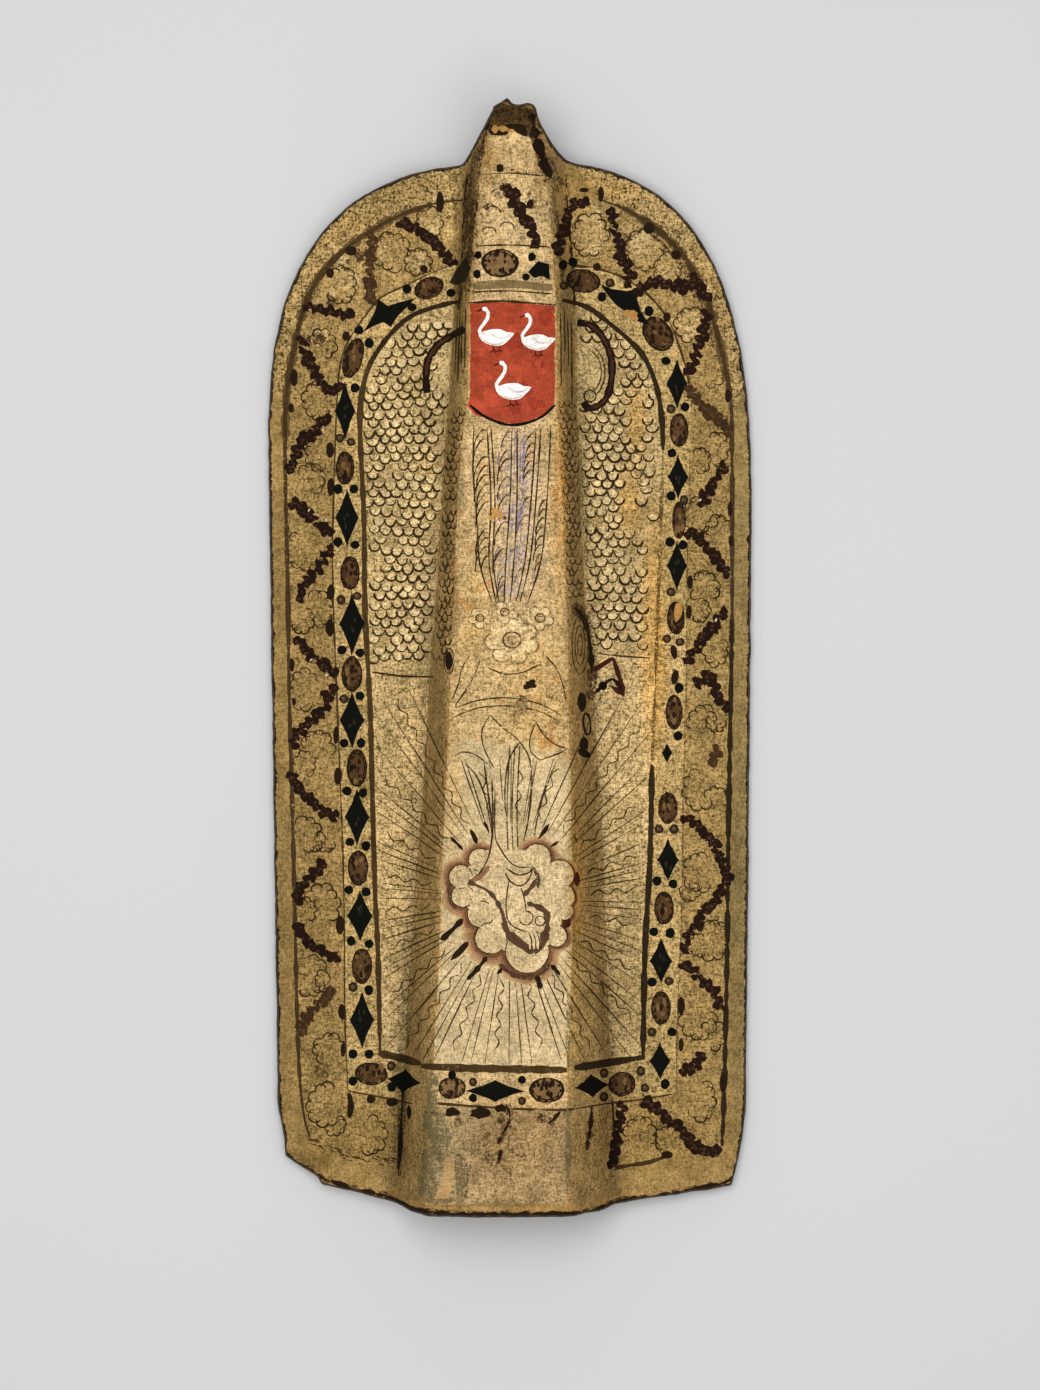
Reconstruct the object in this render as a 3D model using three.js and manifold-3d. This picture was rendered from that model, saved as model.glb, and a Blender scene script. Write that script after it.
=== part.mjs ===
// A painted standing shield (pavise) lying on its back: a thin curved board with a hollow central
// ridge that widens towards the foot and runs on past the arched top as a short open beak.
// Millimetres. X across the shield, +Y towards the beak, +Z out of the painted face.
// The origin is the middle of the footprint, on the surface that the long rims rest on.
import * as THREE from "three";
import { mergeVertices } from "three/addons/utils/BufferGeometryUtils.js";
import Module from "manifold-3d";

const wasm = await Module();
wasm.setup();

// Overall
const overallLength = 1140;
const shieldWidth = 502;
const boardThickness = 13;
const wingDrop = 26; // how far the long rims lie behind the middle of the board
const restFlatDepth = 2.5; // taken off the back of the long rims, so that they rest flat

// Ridge: a trapezoid channel, measured to the sharp corners that its fillets replace
const ridgeHeightAtFoot = 72;
const ridgeHeightAtTip = 66;
const ridgeFootingAtFoot = 226; // width between the two creases
const ridgeFootingAtTip = 100;
const facetWidthAtFoot = 144; // width of the flat front of the ridge
const facetWidthAtTip = 74; // before the beak's own taper
const facetSwell = 17; // extra width of the facet halfway down
const facetSkew = 7; // at the foot the facet stands this far left of the ridge's footing
const beakTaper = 30; // narrowing of the facet at the very tip
const beakTaperLength = 80; // length over which that narrowing dies out
const facetCrown = 3; // the facet bulges this much across its width
const ridgeLean = 10; // the foot of the ridge stands this far left of its tip
const foldInnerRadius = 4; // back radius where the facet turns into a side wall
const creaseRadius = 12; // front radius where a side wall meets the board

// Outline: each half of the arch rises from its own springing line, lower on the right
const leftSpringBelowTip = 352;
const rightSpringBelowTip = 438;
const leftArchRise = 295.5;
const rightArchRise = 384;
const leftArchPower = 2.64; // 2 would be an ellipse; more gives squarer shoulders
const rightArchPower = 2.9;
const leftTaper = 10; // each long side comes in this much between the arch and the lower corner
const rightTaper = 6;
const tipNotchDepth = 7.5; // bite broken out of the end of the beak
const leftShoulder = 49; // where the arch turns up into the beak, from the centre line
const rightShoulder = 72;
const leftFlare = 17; // how far the beak's foot spreads before it meets the arch
const rightFlare = 12;

const tipY = overallLength / 2;
const footY = -overallLength / 2;
const leftSpringY = tipY - leftSpringBelowTip;
const rightSpringY = tipY - rightSpringBelowTip;
const halfWidth = shieldWidth / 2;
const boardFrontZ = wingDrop + boardThickness - restFlatDepth;
const foldRadius = foldInnerRadius + boardThickness;

const lerp = THREE.MathUtils.lerp;
const shareDown = (y) => (tipY - y) / overallLength;

// The ridge's plan and height at a distance along the shield
const ridgeCentre = (y) => (ridgeLean * y) / overallLength;
const ridgeHeight = (y) => lerp(ridgeHeightAtTip, ridgeHeightAtFoot, shareDown(y));
const footingHalf = (y) => lerp(ridgeFootingAtTip, ridgeFootingAtFoot, shareDown(y)) / 2;
function facetHalf(y) {
  const u = shareDown(y);
  const straight = lerp(facetWidthAtTip, facetWidthAtFoot, u);
  const swell = facetSwell * 4 * u * (1 - u);
  const taper = beakTaper * Math.exp((y - tipY) / beakTaperLength);
  return (straight + swell - taper) / 2;
}

const facetCentre = (y) => ridgeCentre(y) - facetSkew * shareDown(y) ** 2;

// Height of the board's front without the ridge
const boardFront = (x) => boardFrontZ - wingDrop * (x / halfWidth) ** 2;

// One side of the ridge's section: points [distance from the ridge's centre, height above the board],
// moved inwards by depth, so that depth 0 is the front and depth boardThickness the back.
function ridgeSection(y, sign, depth) {
  const height = ridgeHeight(y);
  const cornerAt = facetHalf(y) + sign * (facetCentre(y) - ridgeCentre(y));
  const lean = Math.atan2(height, footingHalf(y) - cornerAt);
  const tangent = Math.tan(lean / 2);
  const foldAt = cornerAt - foldRadius * tangent;
  const creaseAt = footingHalf(y) + creaseRadius * tangent;
  const points = [0, 0.5].map((share) => [foldAt * share, height - depth + facetCrown * (1 - share ** 2)]);
  const foldSteps = 5;
  for (let i = 0; i <= foldSteps; i++) {
    const turn = (lean * i) / foldSteps;
    const radius = foldRadius - depth;
    points.push([foldAt + radius * Math.sin(turn), height - foldRadius + radius * Math.cos(turn)]);
  }
  const creaseSteps = 4;
  for (let i = creaseSteps; i >= 0; i--) {
    const turn = (lean * i) / creaseSteps;
    const radius = creaseRadius + depth;
    points.push([creaseAt - radius * Math.sin(turn), creaseRadius - radius * Math.cos(turn)]);
  }
  return points;
}

// The whole section across the shield at y, from one side to past the other
function acrossSection(y, depth) {
  const wingSteps = 6;
  const reach = halfWidth + 2 * boardThickness;
  const side = (sign) => {
    const centre = ridgeCentre(y);
    const ridge = ridgeSection(y, sign, depth);
    const [creaseEnd] = ridge.at(-1);
    const points = ridge.map(([d, z]) => [centre + sign * d, z]);
    const from = centre + sign * creaseEnd;
    for (let i = 1; i <= wingSteps; i++) points.push([lerp(from, sign * reach, i / wingSteps), -depth]);
    return points;
  };
  const flat = [...side(-1).reverse(), ...side(1).slice(1)];
  return flat.map(([x, z]) => new THREE.Vector3(x, y, z + boardFront(x)));
}

// Places along the shield where a section is taken: close together where the beak tapers
function stations() {
  const past = boardThickness;
  const beakSteps = 9;
  const bodySteps = 8;
  const places = [];
  for (let i = 0; i <= bodySteps; i++) places.push(lerp(footY - past, leftSpringY, i / bodySteps));
  for (let i = 1; i <= beakSteps; i++) places.push(lerp(leftSpringY, tipY + past, Math.sqrt(i / beakSteps)));
  return places;
}

// The bent board before it is cut to its outline, closed all round
function boardBlank() {
  const fronts = stations().map((y) => acrossSection(y, 0));
  const backs = stations().map((y) => acrossSection(y, boardThickness));
  const rows = fronts.length;
  const columns = fronts[0].length;
  const positions = [...fronts.flat(), ...backs.flat()].flatMap((p) => [p.x, p.y, p.z]);
  const front = (row, column) => row * columns + column;
  const back = (row, column) => rows * columns + front(row, column);
  const faces = [];
  const quad = (a, b, c, d) => faces.push(a, b, c, a, c, d);
  for (let r = 0; r + 1 < rows; r++) {
    for (let c = 0; c + 1 < columns; c++) {
      quad(front(r, c), front(r, c + 1), front(r + 1, c + 1), front(r + 1, c));
      quad(back(r, c), back(r + 1, c), back(r + 1, c + 1), back(r, c + 1));
    }
    quad(front(r, 0), front(r + 1, 0), back(r + 1, 0), back(r, 0));
    quad(front(r + 1, columns - 1), front(r, columns - 1), back(r, columns - 1), back(r + 1, columns - 1));
  }
  for (let c = 0; c + 1 < columns; c++) {
    quad(front(0, c + 1), front(0, c), back(0, c), back(0, c + 1));
    quad(front(rows - 1, c), front(rows - 1, c + 1), back(rows - 1, c + 1), back(rows - 1, c));
  }
  const geometry = new THREE.BufferGeometry();
  geometry.setAttribute("position", new THREE.Float32BufferAttribute(positions, 3));
  geometry.setIndex(faces);
  return geometry;
}

// One side of the arch, from its springing to where it turns up into the beak
function archPoints(sign, springY, rise, power, shoulder) {
  const steps = 24;
  const last = Math.acos((shoulder / halfWidth) ** (power / 2));
  const points = [];
  for (let i = 0; i <= steps; i++) {
    const turn = (last * i) / steps;
    const across = halfWidth * Math.cos(turn) ** (2 / power);
    points.push(new THREE.Vector2(sign * across, springY + rise * Math.sin(turn) ** (2 / power)));
  }
  return points;
}

// Worn lower corners: [in from the long side, up from the foot], walked from the foot to the side.
// The left one has lost a chip, which leaves a step; the right one is only rounded off.
const leftCorner = [
  [120, 8],
  [91, 15],
  [46, 24],
  [41, 33],
  [21, 45],
  [8, 54],
  [7, 70],
  [0, 103],
];
const rightCorner = [
  [130, 6],
  [102, 11],
  [45, 18],
  [15, 23],
  [7, 54],
  [0, 100],
];

// The foot end of the ridge reaches past the wings: [share of the ridge's half footing, up]
const ridgeFoot = [
  [-0.97, 6],
  [-0.86, 1.5],
  [-0.6, 0],
  [0.66, 0],
  [0.88, 1],
  [1, 5],
];

// The broken end of the beak: [share of the facet's half width, share of the notch's depth]
const brokenTip = [
  [1, 1.43],
  [0.87, 0.9],
  [0.6, 0.65],
  [0.25, 1],
  [-0.1, 0.93],
  [-0.32, 0],
  [-0.63, 0.6],
  [-1, 1.2],
];

function outline() {
  const leftX = leftTaper - halfWidth;
  const rightX = halfWidth - rightTaper;
  const footHalf = footingHalf(footY);
  const tipHalf = facetHalf(tipY);
  const foot = ridgeFoot.map(([share, up]) => [ridgeCentre(footY) + share * footHalf, footY + up]);
  const rightArch = archPoints(1, rightSpringY, rightArchRise, rightArchPower, rightShoulder);
  const leftArch = archPoints(-1, leftSpringY, leftArchRise, leftArchPower, leftShoulder).reverse();
  const tipCentre = facetCentre(tipY);
  const tip = brokenTip.map(([across, down]) => [tipCentre + across * tipHalf, tipY - down * tipNotchDepth]);
  const rightTop = rightArch.at(-1);
  const leftTop = leftArch[0];

  const shape = new THREE.Shape();
  shape.moveTo(...foot[0]);
  for (const p of foot.slice(1)) shape.lineTo(...p);
  for (const [inward, up] of rightCorner) shape.lineTo(rightX - inward, footY + up);
  for (const p of rightArch) shape.lineTo(p.x, p.y);
  shape.quadraticCurveTo(tip[0][0] + rightFlare, rightTop.y + rightFlare / 2, ...tip[0]);
  for (const p of tip.slice(1)) shape.lineTo(...p);
  shape.quadraticCurveTo(tip.at(-1)[0] - leftFlare, leftTop.y + leftFlare, leftTop.x, leftTop.y);
  for (const p of leftArch.slice(1)) shape.lineTo(p.x, p.y);
  for (const [inward, up] of leftCorner.toReversed()) shape.lineTo(leftX + inward, footY + up);
  shape.closePath();
  return shape;
}

function solidOf(geometry) {
  const bare = geometry.clone();
  bare.deleteAttribute("normal");
  bare.deleteAttribute("uv");
  const merged = mergeVertices(bare, 1e-4);
  return new wasm.Manifold(
    new wasm.Mesh({
      numProp: 3,
      vertProperties: new Float32Array(merged.attributes.position.array),
      triVerts: new Uint32Array(merged.index.array),
    }),
  );
}

function geometryOf(solid) {
  const { vertProperties, triVerts } = solid.getMesh();
  const geometry = new THREE.BufferGeometry();
  geometry.setAttribute("position", new THREE.BufferAttribute(vertProperties, 3));
  geometry.setIndex(new THREE.BufferAttribute(triVerts, 1));
  geometry.computeVertexNormals();
  return geometry;
}

// The cutter starts at the resting surface, so it also takes the back of the long rims off flat.
function shieldBody() {
  const tall = boardFrontZ + ridgeHeightAtFoot + ridgeHeightAtTip;
  const cutter = new THREE.ExtrudeGeometry(outline(), { depth: tall, bevelEnabled: false, curveSegments: 8 });
  const body = solidOf(boardBlank()).intersect(solidOf(cutter));
  const paintedCanvas = new THREE.MeshStandardMaterial({ color: 0xb39c6c, roughness: 0.8, metalness: 0 });
  const mesh = new THREE.Mesh(geometryOf(body), paintedCanvas);
  mesh.name = "shield_body";
  return mesh;
}

const pavise = new THREE.Group();
pavise.add(shieldBody());

export default pavise;
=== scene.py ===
"""A painted standing shield lying face up on a pale floor: gesso and paint on canvas over a board.

Sizes are millimetres in the shield's own frame, turned into metres when a mesh is made.
Places on the painting are read off the photograph, in its pixels, and land on the board below them.
"""

import math
import random

import bpy
import numpy as np
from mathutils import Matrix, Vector, noise
from mathutils.geometry import delaunay_2d_cdt


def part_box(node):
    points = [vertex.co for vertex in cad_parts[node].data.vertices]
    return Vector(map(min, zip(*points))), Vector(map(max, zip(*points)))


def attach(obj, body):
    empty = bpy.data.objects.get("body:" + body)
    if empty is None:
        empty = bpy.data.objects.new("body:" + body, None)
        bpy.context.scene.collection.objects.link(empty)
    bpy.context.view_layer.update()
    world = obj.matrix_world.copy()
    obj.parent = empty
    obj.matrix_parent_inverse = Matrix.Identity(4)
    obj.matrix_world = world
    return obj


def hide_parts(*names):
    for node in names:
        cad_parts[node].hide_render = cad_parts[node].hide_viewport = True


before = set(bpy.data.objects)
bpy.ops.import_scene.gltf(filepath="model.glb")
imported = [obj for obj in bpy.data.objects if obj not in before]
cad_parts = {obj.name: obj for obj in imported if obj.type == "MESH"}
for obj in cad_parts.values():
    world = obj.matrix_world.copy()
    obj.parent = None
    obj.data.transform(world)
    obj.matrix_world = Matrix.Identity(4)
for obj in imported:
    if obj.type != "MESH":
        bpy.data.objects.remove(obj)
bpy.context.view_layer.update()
MM = 0.001
random.seed(7)
uniform, choice, chance = random.uniform, random.choice, random.random

# The shield's sizes; a pair is for the tip and for the foot
LOW, HIGH = (np.array(corner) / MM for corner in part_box("shield_body"))
LENGTH = HIGH[1] - LOW[1]
HALF_WIDTH = (HIGH[0] - LOW[0]) / 2
TIP_Y, FOOT_Y = HIGH[1], LOW[1]
THICKNESS = 13.0
WING_DROP = 26.0
REST_FLAT = 2.5  # the wings' edges are this much thinner, where they rest on the floor
BOARD_FRONT = WING_DROP + THICKNESS - REST_FLAT
RIDGE_HEIGHT = (66.0, 72.0)
RIDGE_FOOTING = (100.0, 226.0)
FACET_WIDTH = (74.0, 144.0)
FACET_SWELL = 17.0
FACET_SKEW = 7.0
FACET_CROWN = 3.0
BEAK_TAPER, BEAK_TAPER_LENGTH = 30.0, 80.0
RIDGE_LEAN = 10.0
FOLD_RADIUS = 17.0
CREASE_RADIUS = 12.0

# The photograph: its own pixels, and where its camera stood above the shield
PHOTO_SIZE = (1040, 1390)
PHOTO_MIDDLE = (520.0, 695.0)
PIXEL = 1.033  # millimetres of board to a pixel
BOARD_LEVEL = 30.0
EYE = (10.4, -38.5, 5030.0)
SIGHT_ROUNDS = 12  # until a pixel's line of sight has settled on the bent board


# The bent board

def ridge_at(x, y):
    """The ridge's section at y: distance from its centre, and where each part of it ends."""
    down = (TIP_Y - y) / LENGTH
    centre = RIDGE_LEAN * y / LENGTH
    height = RIDGE_HEIGHT[0] + (RIDGE_HEIGHT[1] - RIDGE_HEIGHT[0]) * down
    footing = (RIDGE_FOOTING[0] + (RIDGE_FOOTING[1] - RIDGE_FOOTING[0]) * down) / 2
    facet = FACET_WIDTH[0] + (FACET_WIDTH[1] - FACET_WIDTH[0]) * down
    facet = (facet + FACET_SWELL * 4 * down * (1 - down)) / 2
    facet -= BEAK_TAPER * np.exp((y - TIP_Y) / BEAK_TAPER_LENGTH) / 2
    side = np.where(x < centre, -1.0, 1.0)
    corner = facet - side * FACET_SKEW * down**2
    lean = np.arctan2(height, footing - corner)
    fold = corner - FOLD_RADIUS * np.tan(lean / 2)
    crease = footing + CREASE_RADIUS * np.tan(lean / 2)
    return centre, np.abs(x - centre), height, lean, fold, crease


def surface(x, y, depth=0.0):
    """Height of the board at (x, y), depth below its front."""
    x, y = np.asarray(x, float), np.asarray(y, float)
    _, away, height, lean, fold, crease = ridge_at(x, y)
    fold_radius, crease_radius = FOLD_RADIUS - depth, CREASE_RADIUS + depth
    fold_end = fold + fold_radius * np.sin(lean)
    crease_start = crease - crease_radius * np.sin(lean)
    fold_end_z = height - FOLD_RADIUS + fold_radius * np.cos(lean)
    facet_z = height - depth + FACET_CROWN * (1 - (away / fold) ** 2)
    arc = np.sqrt(np.maximum(fold_radius**2 - (away - fold) ** 2, 0))
    hollow = np.sqrt(np.maximum(crease_radius**2 - (crease - away) ** 2, 0))
    z = np.select(
        [away <= fold, away <= fold_end, away <= crease_start, away <= crease],
        [
            facet_z,
            height - FOLD_RADIUS + arc,
            fold_end_z - (away - fold_end) * np.tan(lean),
            CREASE_RADIUS - hollow,
        ],
        -depth,
    )
    return z + BOARD_FRONT - WING_DROP * (x / HALF_WIDTH) ** 2


def photo(points):
    """Places on the board's front that the photograph shows at these pixels."""
    points = np.atleast_2d(np.asarray(points, float))
    level = np.full(len(points), BOARD_LEVEL)
    for _ in range(SIGHT_ROUNDS):
        near = PIXEL * (EYE[2] - level) / (EYE[2] - BOARD_LEVEL)
        x = EYE[0] + (points[:, 0] - PHOTO_MIDDLE[0]) * near
        y = EYE[1] - (points[:, 1] - PHOTO_MIDDLE[1]) * near
        level = 0.5 * level + 0.5 * surface(x, y)
    return np.stack([x, y], 1)


# The outline

def smooth(points, step, closed=False):
    """A curve through points (Catmull-Rom), sampled about every step."""
    points = np.asarray(points, float)
    count = len(points)
    turns = count if closed else count - 1
    if closed:
        pick = lambda i: points[i % count]
    else:
        pick = lambda i: points[min(max(i, 0), count - 1)]
    curve = []
    for i in range(turns):
        a, b, c, d = (pick(i + k) for k in (-1, 0, 1, 2))
        pieces = max(1, int(round(np.linalg.norm(c - b) / step)))
        for k in range(pieces):
            t = k / pieces
            square, cube = 2 * a - 5 * b + 4 * c - d, 3 * b - a - 3 * c + d
            curve.append(0.5 * (2 * b + (c - a) * t + square * t**2 + cube * t**3))
    if not closed:
        curve.append(points[-1])
    return np.array(curve)


def even(points, step):
    """Points evenly spaced along a closed polyline."""
    points = np.vstack([points, points[:1]])
    length = np.concatenate([[0], np.cumsum(np.linalg.norm(np.diff(points, axis=0), axis=1))])
    count = int(length[-1] / step)
    at = np.linspace(0, length[-1], count, endpoint=False)
    return np.stack([np.interp(at, length, points[:, k]) for k in (0, 1)], 1)


LEFT_ARCH = dict(spring=TIP_Y - 352, rise=292.0, power=2.64, shoulder=49)
RIGHT_ARCH = dict(spring=TIP_Y - 438, rise=381.5, power=2.9, shoulder=72)
LEFT_TAPER, RIGHT_TAPER = 10.0, 6.0
LEFT_CORNER = [(120, 8), (91, 15), (46, 24), (41, 33), (21, 45), (8, 54), (7, 70), (0, 103)]
RIGHT_CORNER = [(130, 6), (102, 11), (45, 18), (15, 23), (7, 54), (0, 100)]
RIDGE_FOOT = [(-0.97, 6), (-0.86, 1.5), (-0.6, 0), (0.66, 0), (0.88, 1), (1, 5)]
BROKEN_TIP = [
    (1, 1.43), (0.87, 0.9), (0.6, 0.65), (0.25, 1), (-0.1, 0.93), (-0.32, 0), (-0.63, 0.6), (-1, 1.2),
]
TIP_NOTCH = 7.5
LEFT_FLARE, RIGHT_FLARE = 17.0, 12.0
ARCH_POINTS, FLARE_POINTS = 60, 12
EDGE_STEP = 4.0
EDGE_WEAR, EDGE_LOSS = 0.8, 0.45
BROAD_WEAR, FINE_WEAR = 22.0, 7.0  # lengths of the waves along the worn edge
UNWORN_TIP = 12.0
INSIDE_BOX = 0.02


def arch(side, spring, rise, power, shoulder):
    """One wing's top: a quarter of a squarish ellipse, up to where the ridge's shoulder begins."""
    last = math.acos((shoulder / HALF_WIDTH) ** (power / 2))
    turn = np.linspace(0, last, ARCH_POINTS)
    x = side * HALF_WIDTH * np.cos(turn) ** (2 / power)
    return np.stack([x, spring + rise * np.sin(turn) ** (2 / power)], 1)


def bend(start, hold, end):
    """A curve between two places, pulled towards a third."""
    t = np.linspace(0, 1, FLARE_POINTS)[:, None]
    return (1 - t) ** 2 * np.array(start) + 2 * t * (1 - t) * np.array(hold) + t**2 * np.array(end)


def outline():
    """The board's edge, anticlockwise, with the small wear that the photograph shows along it."""
    left_x, right_x = LEFT_TAPER - HALF_WIDTH, HALF_WIDTH - RIGHT_TAPER
    foot_middle = RIDGE_LEAN * FOOT_Y / LENGTH
    foot = [(foot_middle + share * RIDGE_FOOTING[1] / 2, FOOT_Y + up) for share, up in RIDGE_FOOT]
    right_corner = [(right_x - inward, FOOT_Y + up) for inward, up in RIGHT_CORNER]
    left_corner = [(left_x + inward, FOOT_Y + up) for inward, up in reversed(LEFT_CORNER)]
    right, left = arch(1, **RIGHT_ARCH), arch(-1, **LEFT_ARCH)[::-1]
    tip_half = (FACET_WIDTH[0] - BEAK_TAPER) / 2
    tip_middle = RIDGE_LEAN * TIP_Y / LENGTH
    tip = [(tip_middle + share * tip_half, TIP_Y - TIP_NOTCH * down) for share, down in BROKEN_TIP]
    right_beak = bend(right[-1], (tip[0][0] + RIGHT_FLARE, right[-1][1] + RIGHT_FLARE / 2), tip[0])
    left_beak = bend(tip[-1], (tip[-1][0] - LEFT_FLARE, left[0][1] + LEFT_FLARE), left[0])
    edge = np.vstack([foot, right_corner, right, right_beak[1:-1], tip, left_beak[1:-1], left, left_corner])
    edge = even(edge, EDGE_STEP)
    outward = edge_normals(edge)
    for i, (x, y) in enumerate(edge):
        rough = noise.noise(Vector((x, y, 3)) / BROAD_WEAR) + 0.6 * noise.noise(Vector((x, y, 9)) / FINE_WEAR)
        if y < TIP_Y - UNWORN_TIP:
            edge[i] += outward[i] * (EDGE_WEAR * rough - EDGE_LOSS)
    return np.clip(edge, LOW[:2] + INSIDE_BOX, HIGH[:2] - INSIDE_BOX)


def edge_normals(edge):
    """The direction out of an anticlockwise edge at each of its points."""
    along = np.roll(edge, -1, 0) - np.roll(edge, 1, 0)
    along /= np.linalg.norm(along, axis=1)[:, None]
    return np.stack([along[:, 1], -along[:, 0]], 1)


def inside(points, polygon):
    """Which points a closed polygon goes round, overlaps counted in."""
    x, y = points[:, :1], points[:, 1:2]
    a, b = polygon, np.roll(polygon, -1, 0)
    left = (b[:, 0] - a[:, 0]) * (y - a[:, 1]) - (x - a[:, 0]) * (b[:, 1] - a[:, 1])
    up = (a[:, 1] <= y) & (b[:, 1] > y) & (left > 0)
    down = (a[:, 1] > y) & (b[:, 1] <= y) & (left < 0)
    return (up.sum(1) - down.sum(1)) != 0


# Grounds: colour as it looks in plain light, and how coarse its grain is
GROUNDS = {
    "rim_ground": ((160, 130, 78), 0.55),
    "arch_ground": ((170, 140, 88), 1.15),
    "flank_ground": ((164, 133, 82), 0.8),
    "border_ground": ((162, 132, 80), 0.85),
    "band_ground": ((182, 152, 97), 0.9),
    "scale_ground": ((186, 158, 106), 0.9),
    "field_ground": ((196, 166, 114), 0.95),
    "facet_ground": ((196, 165, 115), 0.75),
    "facet_pale": ((204, 179, 134), 0.5),
    "foot_ground": ((168, 140, 98), 0.75),
    "beak_ground": ((96, 74, 42), 0.9),
    "cloud_ground": ((208, 181, 136), 0.6),
}

# Pigments: colour, and how well it has lasted
PIGMENTS = {
    "line": ((50, 36, 17), 0.73),
    "fine_line": ((54, 40, 20), 0.68),
    "faint_line": ((92, 70, 40), 0.60),
    "thick_line": ((66, 49, 25), 0.74),
    "rim_line": ((68, 51, 29), 0.72),
    "dark_line": ((46, 35, 19), 0.76),
    "rim_band": ((92, 72, 42), 0.66),
    "black": ((13, 13, 8), 0.92),
    "black_worn": ((42, 36, 24), 0.92),
    "umber": ((36, 24, 12), 0.82),
    "oval": ((82, 58, 33), 0.86),
    "oval_light": ((112, 84, 50), 0.88),
    "bead": ((33, 19, 11), 0.76),
    "bead_heart": ((66, 41, 27), 0.86),
    "brown_bead": ((62, 42, 24), 0.70),
    "dark_red": ((62, 29, 20), 0.84),
    "red": ((160, 65, 41), 0.93),
    "red_light": ((176, 72, 47), 0.90),
    "red_dark": ((146, 54, 34), 0.90),
    "swan": ((238, 234, 226), 0.97),
    "swan_shade": ((190, 178, 160), 0.70),
    "halo_faint": ((176, 140, 98), 0.72),
    "halo_light": ((158, 120, 82), 0.82),
    "halo": ((136, 98, 66), 0.86),
    "halo_dark": ((108, 72, 46), 0.84),
    "halo_deep": ((80, 54, 36), 0.72),
    "arm_shade": ((82, 60, 42), 0.78),
    "cloud_light": ((204, 178, 136), 0.84),
    "leaf_pale": ((206, 177, 124), 0.53),
    "leaf_line": ((48, 35, 17), 0.78),
    "olive_wash": ((114, 100, 67), 0.62),
    "violet": ((100, 92, 120), 0.58),
    "violet_wash": ((160, 144, 138), 0.51),
    "oval_pale": ((122, 94, 60), 0.84),
    "fold_wear": ((186, 132, 72), 0.54),
    "band_grey": ((120, 100, 64), 0.72),
    "stain": ((112, 86, 50), 0.50),
    "pale_wash": ((216, 190, 140), 0.51),
    "umber_wash": ((66, 46, 30), 0.60),
    "scale_light": ((230, 204, 152), 0.56),
    "cloud_ground_worn": ((208, 181, 136), 0.97),
    "ochre": ((178, 130, 68), 0.72),
    "beige": ((182, 144, 94), 0.84),
    "fleck": ((208, 194, 162), 0.70),
}
PAINT_NAMES = [*GROUNDS, *PIGMENTS]


def linear(colour):
    """A screen colour, 0 to 255, as the renderer counts it."""
    share = np.asarray(colour, float) / 255
    return tuple(np.where(share <= 0.04045, share / 12.92, ((share + 0.055) / 1.055) ** 2.4))


def across(line):
    """The direction square to a polyline at each of its points."""
    along = np.gradient(np.asarray(line, float), axis=0)
    along /= np.maximum(np.linalg.norm(along, axis=1), 1e-6)[:, None]
    return np.stack([-along[:, 1], along[:, 0]], 1)


class Painting:
    """Flat shapes in photograph pixels: a later one covers an earlier one."""

    def __init__(self):
        self.shapes = []

    def fill(self, polygon, paint):
        """A flat area."""
        self.shapes.append((np.asarray(polygon, float), PAINT_NAMES.index(paint)))

    def stroke(self, points, width, paint, step, swell=0.25, start=0.5, end=0.5):
        """A brush stroke; swell is how much its width wanders, start and end how full its ends are."""
        line = smooth(points, step) if len(points) > 2 else np.asarray(points, float)
        if len(line) < 3:
            line = np.linspace(line[0], line[-1], 4)
        share = np.linspace(0, 1, len(line))
        taper = np.minimum(1, np.minimum(start + share * 6, end + (1 - share) * 6))
        half = np.array([width / 2 * (1 + swell * uniform(-1, 1)) for _ in line]) * taper
        side = across(line) * half[:, None]
        self.fill(np.vstack([line + side, (line - side)[::-1]]), paint)

    def disc(self, middle, wide, high, paint, tilt=0.0, points=14, rough=0.04):
        """An oval of two half-widths, its edge a little uneven."""
        angles = np.linspace(0, 2 * math.pi, points, endpoint=False) + uniform(0, 1)
        wobble = np.array([1 + uniform(-rough, rough) for _ in angles])
        ring = np.stack([wide * np.cos(angles) * wobble, high * np.sin(angles) * wobble], 1)
        self.fill(turned(ring, tilt) + np.asarray(middle, float), paint)

    def ring(self, middle, wide, high, width, paint, start=0.0, turn=360.0, tilt=0.0, points=12):
        """A stroke round an oval, or round a stretch of it in degrees."""
        angles = np.radians(np.linspace(start, start + turn, points))
        arc = np.stack([wide * np.cos(angles), high * np.sin(angles)], 1)
        self.stroke(turned(arc, tilt) + np.asarray(middle, float), width, paint, step=99)


def turned(points, degrees):
    """Points turned clockwise as the photograph shows them."""
    angle = math.radians(degrees)
    spin = np.array([[math.cos(angle), math.sin(angle)], [-math.sin(angle), math.cos(angle)]])
    return np.asarray(points, float) @ spin


def x_on(line, y):
    """Where a line that runs down the shield crosses height y."""
    line = np.asarray(line, float)
    order = np.argsort(line[:, 1])
    return float(np.interp(y, line[order, 1], line[order, 0]))


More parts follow.
